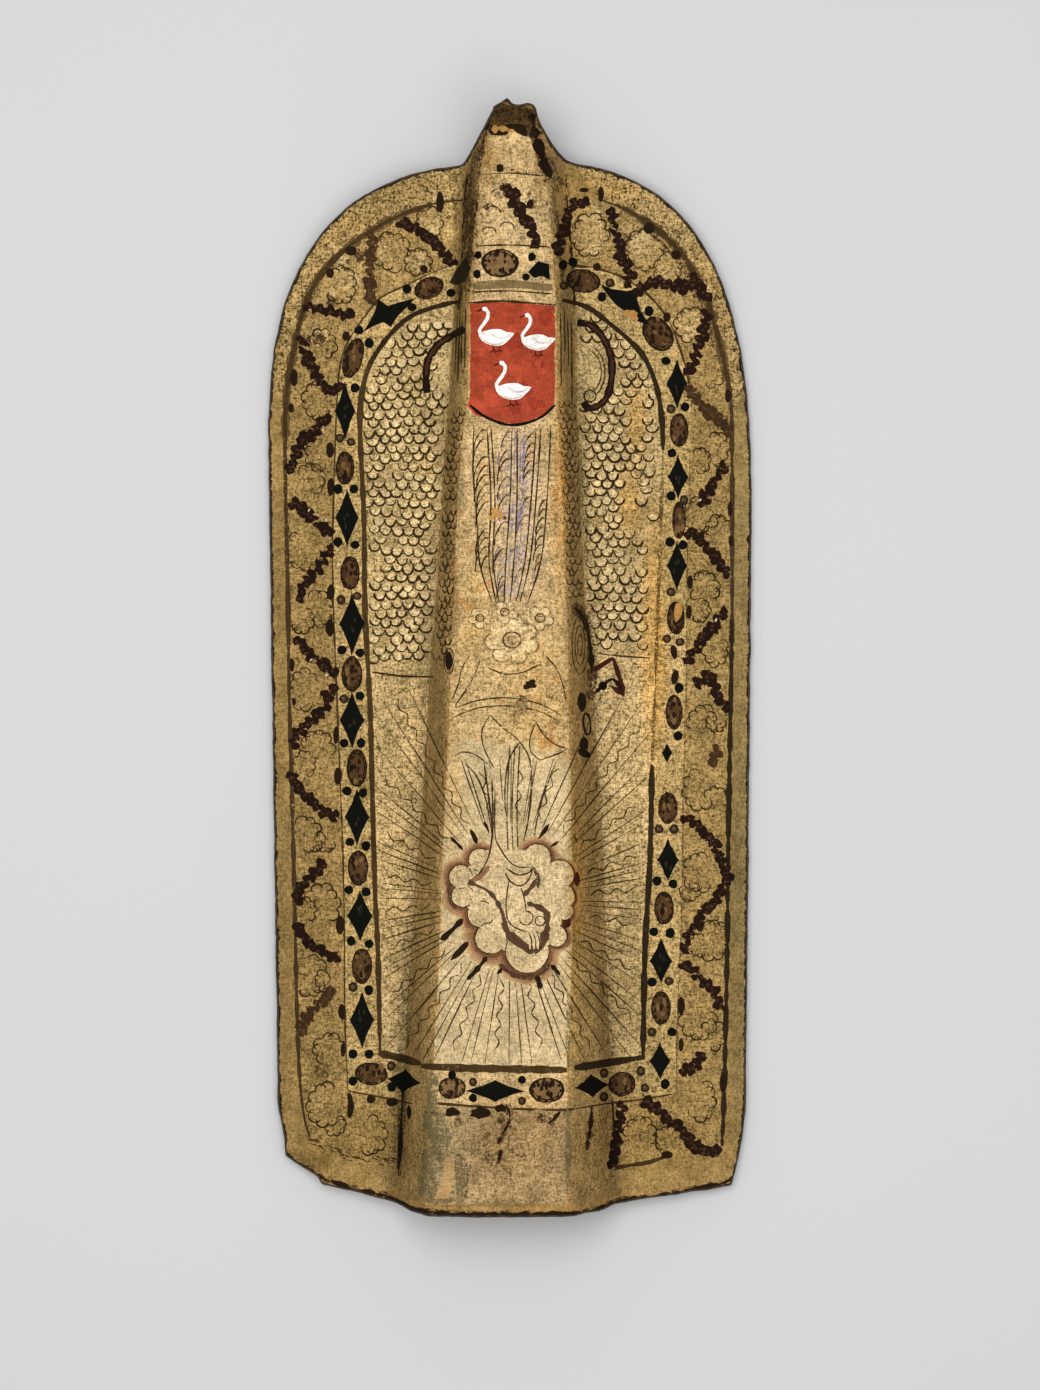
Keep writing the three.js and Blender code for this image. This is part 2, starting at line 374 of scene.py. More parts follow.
# Lines of the design, in photograph pixels
LEFT_RIM = [
    (463, 200), (432, 204), (394, 218), (356, 241), (327, 267), (306, 302), (295, 345), (287, 390),
    (285, 450), (288, 600), (289, 685), (291, 759), (294, 876), (298, 1044), (303, 1110), (310, 1138),
]
LEFT_THIN = [
    (457, 262), (425, 276), (400, 288), (380, 298), (366, 315), (353, 333), (342, 357), (337, 400),
    (333, 520), (333, 590), (337, 700), (341, 800), (344, 900), (345, 1020), (348, 1090),
]
LEFT_THICK = [
    (459, 301), (425, 310), (404, 321), (384, 342), (370, 364), (362, 393), (360, 430), (364, 520),
    (365, 610), (370, 705), (372, 780), (375, 891), (378, 955), (380, 1054),
]
RIGHT_RIM = [
    (598, 199), (625, 209), (650, 224), (672, 243), (690, 266), (707, 300), (720, 345), (730, 395),
    (732, 450), (732, 620), (730, 740), (728, 860), (727, 960), (724, 1096), (722, 1146),
]
RIGHT_THIN = [
    (560, 258), (575, 266), (592, 267), (605, 271), (620, 276), (640, 288), (655, 302), (670, 323),
    (685, 364), (690, 390), (690, 450), (687, 580), (686, 700), (683, 800), (682, 900), (678, 1000),
    (676, 1094),
]
RIGHT_THICK = [
    (562, 300), (587, 307), (614, 327), (630, 341), (642, 354), (652, 373), (658, 393), (662, 420),
    (663, 450), (661, 520), (657, 640), (652, 765), (650, 860), (645, 950), (643, 1058),
]
LEFT_FOLD = [
    (488, 120), (479, 180), (474, 230), (469, 300), (468, 400), (462, 440), (459, 480), (456, 540),
    (452, 640), (449, 720), (445, 800), (441, 900), (438, 980), (434, 1050), (430, 1110), (424, 1206),
]
LEFT_FOOT = [
    (463, 168), (460, 200), (457, 260), (452, 340), (449, 400), (445, 440), (440, 520), (436, 600),
    (429, 680), (425, 760), (417, 860), (411, 940), (405, 1050), (398, 1190),
]
RIGHT_FOLD = [
    (536, 120), (541, 160), (549, 200), (553, 260), (556, 300), (557, 400), (559, 440), (563, 520),
    (566, 600), (568, 640), (569, 720), (571, 800), (573, 900), (571, 980), (568, 1050), (568, 1110),
    (568, 1206),
]
RIGHT_FOOT = [
    (566, 168), (567, 200), (572, 260), (577, 340), (577, 400), (579, 440), (581, 520), (585, 600),
    (592, 680), (598, 760), (604, 860), (606, 940), (610, 1050), (617, 1190),
]


def part(line, top, bottom):
    """The stretch of a line between two heights, with its ends cut there."""
    kept = [p for p in line if top < p[1] < bottom]
    return [(x_on(line, top), top), *kept, (x_on(line, bottom), bottom)]


painting = Painting()
fill, stroke, disc, ring = painting.fill, painting.stroke, painting.disc, painting.ring


def draw(marks):
    """Marks in the order they are laid: each is a brush, then what that brush takes."""
    for brush, *how in marks:
        brush(*how)


LEFT_ARCH_TOP = [(262, 330), (300, 220), (380, 165), (470, 140), (463, 202)]
RIGHT_ARCH_TOP = [(756, 330), (720, 220), (640, 160), (560, 140), (600, 202)]
LEFT_FLANK_TOP = [(462, 206), (463, 165), (484, 112), (496, 112)]
RIGHT_FLANK_TOP = [(568, 206), (570, 165), (540, 112), (530, 112)]
PALE_TOP = [(450, 745), (470, 738), (500, 745), (520, 740), (550, 748), (566, 760)]
BEAK_TOP = [(492, 104), (500, 101), (507, 105), (520, 107), (533, 110), (537, 124)]


def grounds():
    """The broad areas: outer border, jewelled band, inner fields, facet and beak."""
    fill([*LEFT_ARCH_TOP, *LEFT_RIM[1:7], (285, 420)], "arch_ground")
    fill([*RIGHT_ARCH_TOP, *RIGHT_RIM[1:7], (735, 420)], "arch_ground")
    for top, fold, foot in (
        (LEFT_FLANK_TOP, LEFT_FOLD, LEFT_FOOT),
        (RIGHT_FLANK_TOP, RIGHT_FOLD, RIGHT_FOOT),
    ):
        fill([*top, *part(fold, 124, 1204), *part(foot, 204, 1180)[::-1]], "flank_ground")
    for rim, foot, low, high in (
        (LEFT_RIM, LEFT_FOOT, [(356, 1160), (396, 1168)], (461, 203)),
        (RIGHT_RIM, RIGHT_FOOT, [(670, 1156), (617, 1172)], (568, 203)),
    ):
        fill([*smooth(rim, 12), *low, *foot[::-1][1:-1], high], "border_ground")
    fill([*smooth(LEFT_THIN, 12), (402, 1100), *part(LEFT_FOOT, 262, 1098)[::-1]], "band_ground")
    fill([*smooth(RIGHT_THIN, 12), (612, 1098), *part(RIGHT_FOOT, 262, 1096)[::-1]], "band_ground")
    fill([*smooth(LEFT_THICK, 12), (404, 1062), *part(LEFT_FOOT, 303, 1060)[::-1]], "scale_ground")
    fill([*smooth(RIGHT_THICK, 12), (611, 1062), *part(RIGHT_FOOT, 300, 1060)[::-1]], "scale_ground")
    fill([*part(LEFT_THICK, 672, 1052), (404, 1060), *part(LEFT_FOOT, 676, 1058)[::-1]], "field_ground")
    fill([*part(RIGHT_THICK, 656, 1056), (611, 1060), *part(RIGHT_FOOT, 652, 1058)[::-1]], "field_ground")
    fill([*part(LEFT_FOLD, 122, 1204), *part(RIGHT_FOLD, 122, 1204)[::-1]], "facet_ground")
    fill([*part(LEFT_FOLD, 750, 1063), *part(RIGHT_FOLD, 765, 1066)[::-1], *PALE_TOP[::-1]], "facet_pale")
    fill([*part(LEFT_FOLD, 1106, 1203), *part(RIGHT_FOLD, 1108, 1204)[::-1]], "foot_ground")
    fill([(487, 124), *BEAK_TOP, (530, 131), (515, 126), (500, 130)], "beak_ground")


ARCH_WEAR = ["stain", "pale_wash", "umber_wash", "pale_wash"]
FOOT_LINE_GRIME_AND_SHADE = [  # a line, where the grime and painted shade on it start and end, how wide it is
    ([(x + 5, y) for x, y in LEFT_FOOT], 175, 310, 4.5),
    (RIGHT_FOOT, 175, 310, 3.4),
    (LEFT_FOOT, 1085, 1176, 8.0),
    (RIGHT_FOOT, 1100, 1170, 5.0),
]
# Grime and painted shade in the upper creases beside the beak
CREASE_GRIME_AND_SHADE_MARKS = [
    (stroke, [(477, 150), (474, 186), (473, 215), (470, 250), (467, 292)], 8.0, "umber_wash", 5, 0.6),
    (stroke, [(468, 185), (467, 215), (465, 250), (461, 300)], 4.0, "umber_wash", 5, 0.8),
    (fill, [(449, 283), (457, 268), (467, 256), (470, 268), (466, 281), (457, 285)], "black_worn"),
    (stroke, [(553, 190), (557, 220), (560, 250), (563, 285)], 4.0, "umber_wash", 5, 0.6),
]
WING_STAINS, ARCH_STAINS, ARCH_SPECKS, BEAK_STAINS, FACET_STAINS = 150, 150, 130, 46, 110


def in_arch(level, wide, high):
    """A chance place in the upper border, round a middle at this level."""
    angle = uniform(math.radians(185), math.radians(355))
    return 510 + math.cos(angle) * uniform(*wide), level + math.sin(angle) * uniform(*high)


def spot(x, y, size, high, paint, points):
    """A ragged spot, turned by chance."""
    disc((x, y), size, high, paint, uniform(0, 90), points, 0.35)


def worn_folds():
    """Ochre worn through along both folds of the ridge, grime and painted shade along its creases, and stains
    in the upper border.
    """
    for fold in (part(LEFT_FOLD, 130, 1200), part(RIGHT_FOLD, 130, 1200)):
        for y in np.arange(140, 1190, 26):
            length = uniform(14, 34)
            heights = [y + k for k in np.arange(0, length, 5)]
            place = [(x_on(fold, height) + uniform(-1.2, 1.2), height) for height in heights]
            if len(place) > 3 and chance() < 0.8:
                stroke(place, uniform(2.5, 6.0), "fold_wear", 99, 0.5)
    # grime and painted shade along the creases at the foot of both flanks
    for line, top, bottom, width in FOOT_LINE_GRIME_AND_SHADE:
        stroke(part(line, top, bottom), width, "umber_wash", 5, 0.7)
        stroke(part(line, top, bottom), width * 0.4, "umber", 4, 0.9)
    draw(CREASE_GRIME_AND_SHADE_MARKS)
    for _ in range(WING_STAINS):
        wing = choice((-1, 1))
        x = uniform(285, 345) if wing < 0 else uniform(680, 738)
        y = uniform(300, 1150)
        size = uniform(2, 7)
        disc((x, y), size, size * uniform(0.6, 1.6), "stain", 0, 8, 0.35)
    for _ in range(ARCH_STAINS):
        x, y = in_arch(370, (185, 225), (160, 190))
        size = uniform(2, 8)
        spot(x, y, size, size * 0.7, choice(ARCH_WEAR), 8)
    for _ in range(ARCH_SPECKS):
        x, y = in_arch(375, (180, 236), (158, 205))
        size = uniform(0.8, 2.2)
        spot(x, y, size, size * uniform(0.6, 1.8), "umber_wash", 6)
    for _ in range(BEAK_STAINS):
        y = uniform(138, 245)
        x = uniform(x_on(LEFT_FOLD, y) + 5, x_on(RIGHT_FOLD, y) - 5)
        size = uniform(2, 7)
        spot(x, y, size, size * 0.8, "pale_wash" if chance() < 0.7 else "fold_wear", 9)
    for _ in range(FACET_STAINS):
        x, y = uniform(460, 560), uniform(430, 760)
        size = uniform(2, 7)
        spot(x, y, size, size * 0.8, choice(["fold_wear", "stain"]), 9)


FOOT_BREAK = [(308, 1140), (330, 1148), (352, 1160), (392, 1159)]
WING_LINES = [
    (stroke, [(615, 1168), (632, 1165), (650, 1162), (672, 1154)], 3.6, "thick_line", 6, 0.5),
    (stroke, LEFT_THIN, 1.7, "thick_line", 9, 0.4),
    (stroke, [(348, 1091), (380, 1097), (413, 1104)], 2.0, "thick_line", 9, 0.4),
    (stroke, RIGHT_THIN[:10], 2.2, "thick_line", 9, 0.5),
    (stroke, RIGHT_THIN[10:], 1.6, "faint_line", 9, 0.5),
    (stroke, LEFT_THICK, 5.4, "thick_line", 9, 0.25),
    (stroke, LEFT_THICK[:5], 4.6, "dark_line", 9, 0.3),
    (stroke, RIGHT_THICK[:9], 5.4, "dark_line", 9, 0.3),
    (stroke, RIGHT_THICK[8:12], 3.0, "faint_line", 9, 0.7),
    (stroke, RIGHT_THICK[11:], 5.8, "dark_line", 9, 0.25),
    (stroke, [(378, 1053), (400, 1058), (421, 1064)], 7.4, "thick_line", 9, 0.2),
    (stroke, [(645, 1057), (600, 1064), (574, 1068)], 6.4, "dark_line", 7, 0.35),
    (stroke, [(575, 1109), (605, 1104), (645, 1099), (672, 1094)], 2.0, "thick_line", 9, 0.4),
    (stroke, [(421, 1066), (460, 1068), (510, 1069), (567, 1070)], 7.6, "thick_line", 9, 0.2),
    (stroke, [(432, 1103), (470, 1106), (520, 1109), (560, 1110), (575, 1109)], 2.4, "thick_line", 9, 0.4),
    (stroke, [(372, 672), (400, 676), (433, 677)], 1.8, "line", 9, 0.3),
    (stroke, [(596, 653), (620, 656), (650, 658)], 1.6, "line", 9, 0.3),
]


def wing_lines():
    """The rims, the thin and thick lines of both wings, and the lines across the ridge."""
    for line, bow in ((LEFT_RIM, LEFT_RIM[1:9]), (RIGHT_RIM[:11], RIGHT_RIM[1:8])):
        stroke(bow, 8.5, "rim_band", 7, 0.4)
        stroke(line, 4.0, "rim_line", 9, 0.4)
        stroke(bow, 4.5, "thick_line", 6, 0.7)
    shadow = [(x - 5, y + 5) for x, y in RIGHT_RIM[2:7]]
    stroke(shadow, 4.0, "umber_wash", 6, 0.7)
    stroke(RIGHT_RIM[9:], 5.0, "dark_line", 7, 0.5)
    for x, y in smooth(FOOT_BREAK, 3):
        rise, dash = uniform(-4, 4), uniform(3, 9)
        short = [(x, y + rise), (x + dash, y + rise + dash * 0.3)]
        stroke(short, uniform(1.0, 2.2), "thick_line", 5, 0.4)
    draw(WING_LINES)


BIG_SCALE = 8.0  # wider ones are paler inside
SCALE_ARC = [(-1, -0.05), (-0.86, 0.5), (-0.5, 0.89), (0, 1.0), (0.5, 0.89), (0.86, 0.5), (1, -0.05)]


def scales(top, bottom, left_line, right_line, wide, pitch, width, paint):
    """Overlapping fish scales: pale rounds, each with a dark sagging arc; none where the paint has gone."""
    y, odd = top, False
    while y < bottom:
        left, right = x_on(left_line, y) + 2.2, x_on(right_line, y) - 1.2
        first = math.floor((left - 300) / wide) * wide + 300 + (wide / 2 if odd else 0)
        for x in np.arange(first, right + wide, wide):
            if x - wide * 0.2 < left or x + wide * 0.2 > right:
                continue
            lost = chance() < 0.03
            if lost or any(math.hypot((x - a) / c, (y - b) / d) < 1 for a, b, c, d in BARE_SCALES):
                continue
            middle = x + uniform(-0.14, 0.14) * wide
            drop = y + pitch * (0.22 * math.sin(x / 23 + y / 37) + uniform(-0.17, 0.17))
            sag = pitch * uniform(0.62, 0.90)
            half = wide / 2 * uniform(0.92, 1.14)
            if wide > BIG_SCALE:
                disc((middle, drop + sag * 0.35), half * 0.72, sag * 0.55, "scale_light", 0, 7, 0.15)
            arc = [(middle + half * c, drop + sag * s) for c, s in SCALE_ARC]
            arc = [p for p in arc if left - 1 < p[0] < right + 1]
            if len(arc) > 3:
                stroke(arc, width * uniform(0.8, 1.5), paint, 99, 0.35)
        y, odd = y + pitch, not odd


BARE_SCALES = [  # ovals without scales: place, half-width, half-height
    (636, 415, 9, 26), (629, 500, 8, 34), (644, 520, 8, 20), (652, 585, 9, 60), (660, 470, 8, 60),
    (632, 560, 7, 14), (390, 470, 9, 7), (378, 560, 7, 12), (412, 365, 10, 6), (600, 372, 22, 30),
    (444, 360, 12, 26),
]


def fish_scales():
    """Scales on both wings, smaller ones on the flanks below a few fine lines."""
    scales(322, 664, LEFT_THICK, LEFT_FOOT, 11.4, 9.0, 1.7, "line")
    scales(318, 644, RIGHT_FOOT, RIGHT_THICK, 11.4, 9.0, 1.7, "line")
    for foot, fold in ((LEFT_FOOT, LEFT_FOLD), (RIGHT_FOOT, RIGHT_FOLD)):
        for share in (0.25, 0.42, 0.58, 0.78):
            top = uniform(298, 325)
            heights = np.arange(top, top + uniform(50, 95), 12)
            line = [(x_on(foot, y) + share * (x_on(fold, y) - x_on(foot, y)), y) for y in heights]
            stroke(line, 1.5, "line", 12, 0.5)
    scales(412, 660, LEFT_FOOT, LEFT_FOLD, 5.8, 7.4, 1.3, "line")
    scales(404, 600, RIGHT_FOLD, RIGHT_FOOT, 5.8, 7.0, 1.2, "fine_line")


RAY_HEART = (510, 900)
RAYS = 88
RAY_FIELD = (690, 1060)  # its top and foot
RIBBON_SIDES, RIBBON_FOOT = (450, 566), 760  # no ray runs over the ribbons


def rays():
    """Straight and flaming rays round the clouds, over the facet, its sides and the lower fields."""
    heart = np.array(RAY_HEART, float)
    for k in range(RAYS):
        degrees = k * 360 / RAYS + uniform(-1.4, 1.4)
        way = np.array([math.cos(math.radians(degrees)), math.sin(math.radians(degrees))])
        near = 78 if way[1] < -0.4 else 72
        far = reach_of_ray(heart, way)
        if far - near < 18:
            continue
        far = min(far, near + uniform(120, 260))
        side = np.array([-way[1], way[0]])
        if k % 4 == 3:
            places = np.arange(near + 8, far - 6, 9.0)
            flame = [heart + way * at + side * 2.6 * (-1) ** i for i, at in enumerate(places)]
            if len(flame) > 3:
                stroke(flame, 1.3, "fine_line", 4, 0.35)
        else:
            stroke([heart + way * near, heart + way * far], 1.2, "fine_line", 20, 0.4)


def reach_of_ray(heart, way):
    """How far a ray runs before it meets the border of its field."""
    at = 60.0
    while at < 420:
        x, y = heart + way * at
        if not RAY_FIELD[0] <= y <= RAY_FIELD[1]:
            return at
        if x < x_on(LEFT_THICK, y) + 6 or x > x_on(RIGHT_THICK, y) - 6:
            return at
        if y < RIBBON_FOOT and RIBBON_SIDES[0] < x < RIBBON_SIDES[1]:
            return at
        at += 4
    return at


# The jewelled band: the place, half-widths and tilt of each oval and lozenge, the place of each dot
LEFT_OVALS = [
    (429, 288, 15.5, 10.8, -22), (353, 358, 10, 21, 16), (345, 468, 9.5, 17, 0), (350, 573, 10, 17, 0),
    (352, 674, 10.5, 18, 0), (357, 768, 10.5, 19, 0), (358, 868, 10.5, 18, 0), (362, 966, 10.5, 18, 0),
    (371, 1074, 16.5, 11.5, 4),
]
LEFT_LOZENGES = [
    (345, 411, 9.5, 30, 0), (347, 518, 11, 30, 0), (352, 624, 12, 32, 0), (352, 720, 11.5, 29, 0),
    (357, 817, 11.5, 29, 0), (360, 916, 12, 26, 0), (362, 1020, 11.5, 29, 0), (404, 1081, 15.5, 12, 8),
]
LEFT_DOTS = [
    (407, 289), (451, 293), (412, 307), (359, 330), (369, 343), (355, 388), (337, 388), (351, 442),
    (340, 438), (338, 489), (354, 489), (338, 542), (355, 545), (341, 600), (357, 596), (342, 650),
    (360, 653), (344, 699), (360, 696), (344, 743), (361, 743), (347, 791), (363, 793), (350, 842),
    (366, 846), (349, 890), (366, 892), (351, 941), (369, 944), (353, 987), (369, 990), (353, 1054),
    (369, 1054), (391, 1066), (353, 1081), (392, 1087),
]
RIGHT_OVALS = [
    (583, 281, 17.5, 12, 8), (658, 334, 14, 19, -35), (679, 430, 9.5, 17, 0), (679, 520, 7, 19, 0),
    (676, 618, 9, 17, 0), (674, 712, 8.5, 18, 0), (668, 808, 10, 16, 0), (664, 908, 10, 17, 0),
    (661, 1008, 10, 17, 0), (622, 1084, 14, 12.5, -8),
]
RIGHT_LOZENGES = [
    (677, 384, 10, 25, 0), (678, 477, 9.5, 23, 0), (677, 566, 9.5, 25, 0), (667, 753, 5, 11, 0),
    (668, 860, 10, 22, 0), (661, 961, 10.5, 24, 0), (660, 1061, 10, 19, 0), (592, 1086, 16, 12, -6),
]
RIGHT_DOTS = [
    (610, 283), (602, 297), (649, 311), (666, 361), (671, 409), (685, 407), (672, 453), (671, 496),
    (684, 500), (670, 542), (683, 545), (671, 592), (667, 639), (680, 642), (679, 688), (678, 736),
    (659, 829), (674, 829), (657, 881), (673, 884), (654, 932), (670, 933), (652, 982), (669, 981),
    (652, 1032), (672, 1032), (604, 1073), (604, 1097), (641, 1071), (645, 1088), (665, 1084), (563, 265),
    (573, 262), (564, 286),
]


def jewel_oval(x, y, wide, high, tilt, brown="oval"):
    """A brown oval with a dark edge, spots round it and flecks within."""
    disc((x, y), wide, high, "umber", tilt, 18, 0.03)
    disc((x, y), wide * 0.84, high * 0.88, brown, tilt, 16, 0.06)
    for k in range(11):
        angle = math.radians(k * 360 / 11 + uniform(-9, 9))
        spot = turned([(0.76 * wide * math.cos(angle), 0.80 * high * math.sin(angle))], tilt)[0]
        size = uniform(1.0, 2.1)
        rise = size * uniform(0.8, 1.5)
        disc((x + spot[0], y + spot[1]), size, rise, "umber", tilt, 6, 0.25)
    for _ in range(max(4, int(wide * high / 18))):
        spot = turned([(uniform(-0.6, 0.6) * wide, uniform(-0.7, 0.7) * high)], tilt)[0]
        paint = choice(["umber", "oval_light", "umber", "bead", "bead_heart"])
        size = uniform(1.2, 2.6)
        disc((x + spot[0], y + spot[1]), size, size * uniform(1, 2.2), paint, tilt, 8, 0.25)
    ring((x, y), wide * 0.7, high * 0.76, 1.2, "umber", uniform(0, 360), 150, tilt, 10)


LOZENGE_HOLLOW = 2.3


def lozenge(x, y, wide, high, tilt):
    """A four-pointed black figure with hollow sides."""
    angles = np.linspace(0, 2 * math.pi, 32, endpoint=False)
    cos, sin = np.cos(angles), np.sin(angles)
    left_right = 1.1 * wide * np.sign(cos) * np.abs(cos) ** LOZENGE_HOLLOW
    ring = np.stack([left_right, high * np.sign(sin) * np.abs(sin) ** LOZENGE_HOLLOW], 1)
    ring += np.array([[uniform(-0.35, 0.35), uniform(-0.35, 0.35)] for _ in angles])
    keep = [i for i in range(32) if i % 8 not in (1, 7)]
    fill(turned(ring[keep], tilt) + (x, y), "black")
    if high > 20:
        for _ in range(3):
            place = (x + uniform(-3, 3), y + uniform(-9, 9))
            disc(place, 1.2, 2.6, "black_worn", 0, 7, 0.3)


def dot(x, y, radius=4.7):
    """A black dot; some have a pale heart."""
    ringed = chance() < 0.3
    high = radius * uniform(0.9, 1.15)
    disc((x, y), radius, high, "black_worn" if ringed else "black", 0, 11, 0.08)
    if ringed:
        disc((x, y), radius * 0.5, radius * 0.5, "oval", 0, 8, 0.15)
        disc((x - 0.8, y - 0.8), radius * 0.22, radius * 0.25, "oval_light", 0, 6, 0.1)


LEFT_STAR = [
    (378, 299), (388, 306), (400, 302), (416, 298), (406, 308), (398, 316), (391, 327), (383, 322),
    (374, 326), (363, 332), (370, 321), (375, 311),
]
RIGHT_STAR = [
    (600, 284), (612, 289), (627, 291), (641, 288), (637, 299), (641, 311), (650, 326), (637, 321),
    (627, 313), (616, 305), (609, 297),
]
FOOT_DOTS = [(473, 1082), (473, 1098), (522, 1080), (522, 1101), (452, 1075)]
STARS = [
    (fill, LEFT_STAR, "black"),
    (fill, RIGHT_STAR, "black"),
    (disc, (632, 315), 8, 4.5, "ochre", 35, 12, 0.3),
]
RIGHT_BAND_SPOTS = [
    (disc, (674, 652), 3.4, 7.5, "umber", -10),
    (disc, (675, 677), 3.8, 7.5, "umber", 12),
    (disc, (678, 612), 4.2, 9, "ochre", 8, 12, 0.2),
]


def jewels():
    """The band's ovals, lozenges, dots and corner stars, and its stretch across the ridge."""
    for gem, places in ((jewel_oval, LEFT_OVALS + RIGHT_OVALS), (lozenge, LEFT_LOZENGES + RIGHT_LOZENGES)):
        for place in places:
            gem(*place)
    for x, y in LEFT_DOTS + RIGHT_DOTS:
        dot(x, y)
    draw(STARS)
    jewel_oval(452, 1088, 14, 11, 0, "oval_pale")
    lozenge(495, 1091, 28, 11, 0)
    jewel_oval(547, 1090, 18, 13, 0, "oval_pale")
    for x, y in FOOT_DOTS:
        dot(x, y, 4.2)
    draw(RIGHT_BAND_SPOTS)


# Bead chains of the outer border
LEFT_CHAINS = [
    [(402, 222), (415, 228), (428, 237), (436, 246), (447, 256), (453, 264)],
    [(373, 236), (371, 250), (370, 272), (370, 288), (372, 300)],
    [(306, 306), (325, 310), (335, 311), (348, 316)],
    [(303, 340), (306, 355), (312, 365), (315, 375), (320, 382), (330, 392), (340, 385)],
    [(328, 418), (318, 424), (313, 435), (303, 440), (298, 450), (289, 470)],
    [(292, 503), (300, 506), (308, 514), (318, 523), (328, 533)],
    [(332, 549), (326, 556), (320, 565), (314, 574), (305, 583), (300, 592), (302, 598)],
    [(298, 640), (305, 648), (312, 656), (320, 662), (328, 670), (335, 673)],
    [(335, 688), (328, 695), (328, 703), (323, 712), (307, 724), (297, 733), (293, 745)],
    [(291, 775), (298, 790), (308, 798), (318, 806), (327, 815), (337, 816)],
    [(322, 862), (322, 870), (315, 873), (308, 880), (300, 886), (297, 900)],
    [(298, 925), (302, 933), (308, 942), (322, 952), (330, 957), (337, 957)],
    [(331, 993), (322, 1000), (316, 1008), (308, 1015), (303, 1025), (303, 1033)],
]
RIGHT_CHAINS = [
    [(586, 203), (575, 203), (569, 212), (565, 224), (561, 237), (557, 250)],
    [(613, 212), (614, 226), (617, 240), (621, 248), (619, 256), (625, 266), (631, 275), (626, 283)],
    [(637, 290), (655, 282), (665, 284), (687, 287), (694, 280), (700, 288), (705, 297)],
    [(707, 312), (706, 322), (702, 335), (697, 348), (694, 362), (688, 372)],
    [(690, 388), (695, 398), (705, 410), (715, 415), (722, 424), (730, 433)],
    [(725, 466), (718, 477), (711, 488), (706, 495), (703, 505)],
    [(688, 533), (697, 535), (709, 552), (716, 556), (722, 567), (727, 573)],
    [(725, 612), (718, 620), (712, 630), (705, 636), (698, 645), (688, 662)],
    [(697, 685), (709, 675), (715, 688), (720, 700), (727, 708)],
    [(718, 748), (715, 757), (712, 762)],
    [(685, 818), (693, 823), (702, 832), (714, 845), (718, 855), (724, 865), (728, 880)],
    [(723, 888), (716, 900), (708, 908), (700, 916), (698, 925), (690, 932), (683, 950)],
    [(682, 965), (690, 968), (697, 975), (704, 983), (712, 988), (720, 1008)],
    [(702, 1055), (697, 1065), (690, 1070), (683, 1070)],
    [(645, 1103), (655, 1108), (668, 1120), (677, 1125), (692, 1142), (700, 1150), (716, 1152)],
    [(622, 1105), (621, 1120), (618, 1135), (615, 1150), (612, 1165)],
]
BROWN_LEFT, BROWN_RIGHT = (1, 12), (4, 9)  # which chains of each wing are browner
LARGE_RIGHT = (2, 14)


def chain(points, radius, dark="bead", heart="bead_heart"):
    """Beads strung in a wavering row, each a ragged blob with a redder middle."""
    line = smooth(points, 4.4)
    side = across(line)
    for i, place in enumerate(line):
        middle = place + side[i] * uniform(1.2, 2.6) * (-1) ** i
        size = radius * uniform(0.78, 1.12)
        disc(middle, size, size * uniform(0.7, 1.0), dark, uniform(0, 90), 9, 0.34)
    for i, place in enumerate(line):
        for _ in range(2):
            if chance() < 0.5:
                away = uniform(-0.6, 0.6) * radius
                size = radius * uniform(0.2, 0.4)
                disc(place + side[i] * away, size, size * 0.8, heart, 0, 6, 0.3)


def chains():
    """The chains of both wings, a few of them browner or larger."""
    for row, brown, large, radius in (
        (LEFT_CHAINS, BROWN_LEFT, (), 5.2),
        (RIGHT_CHAINS, BROWN_RIGHT, LARGE_RIGHT, 5.1),
    ):
        for i, points in enumerate(row):
            paints = ("brown_bead", "oval") if i in brown else ("bead", "bead_heart")
            chain(points, 6.0 if i in large else radius, *paints)


BUMPS = [
    (351, 251, 6, 5), (330, 273, 4, 5), (346, 336, 4, 5), (294, 378, 4, 9), (291, 408, 3, 5),
    (330, 450, 4, 8), (331, 487, 4, 9), (331, 592, 4, 8), (330, 628, 4.5, 9), (292, 665, 2.5, 7),
    (294, 702, 2, 4), (336, 735, 3, 9), (338, 776, 4, 9), (340, 925, 4.5, 10), (342, 1012, 4, 8),
    (343, 1050, 2.5, 7), (371, 1099, 4.5, 4.5), (392, 1102, 6, 4.5), (409, 1112, 2.5, 7), (424, 269, 4, 4),
    (649, 228, 6, 6), (676, 255, 5, 5), (597, 267, 4, 4), (667, 317, 4, 5), (728, 396, 3, 7),
    (730, 509, 2.5, 8), (731, 541, 2.5, 6), (690, 582, 3, 7), (689, 612, 3, 7), (681, 1006, 4, 9),
    (681, 1045, 2.5, 7), (723, 1083, 3.5, 10), (667, 1155, 6, 4), (449, 661, 4, 9), (582, 702, 4.5, 10),
    (584, 744, 4.5, 7), (440, 202, 4, 11), (601, 194, 3, 8), (584, 190, 5, 2.5),
]
FOOT_BUDS = [
    (stroke, [(349, 1093), (351, 1106), (349, 1118)], 6.5, "umber", 5, 0.3),
    (disc, (322, 1070), 8, 8, "faint_line", 0, 12, 0.2),
]


def bumps():
    """Dark buds on the border's lines."""
    for x, y, wide, high in BUMPS:
        disc((x, y), wide, high, "umber", 0, 12, 0.06)
    draw(FOOT_BUDS)


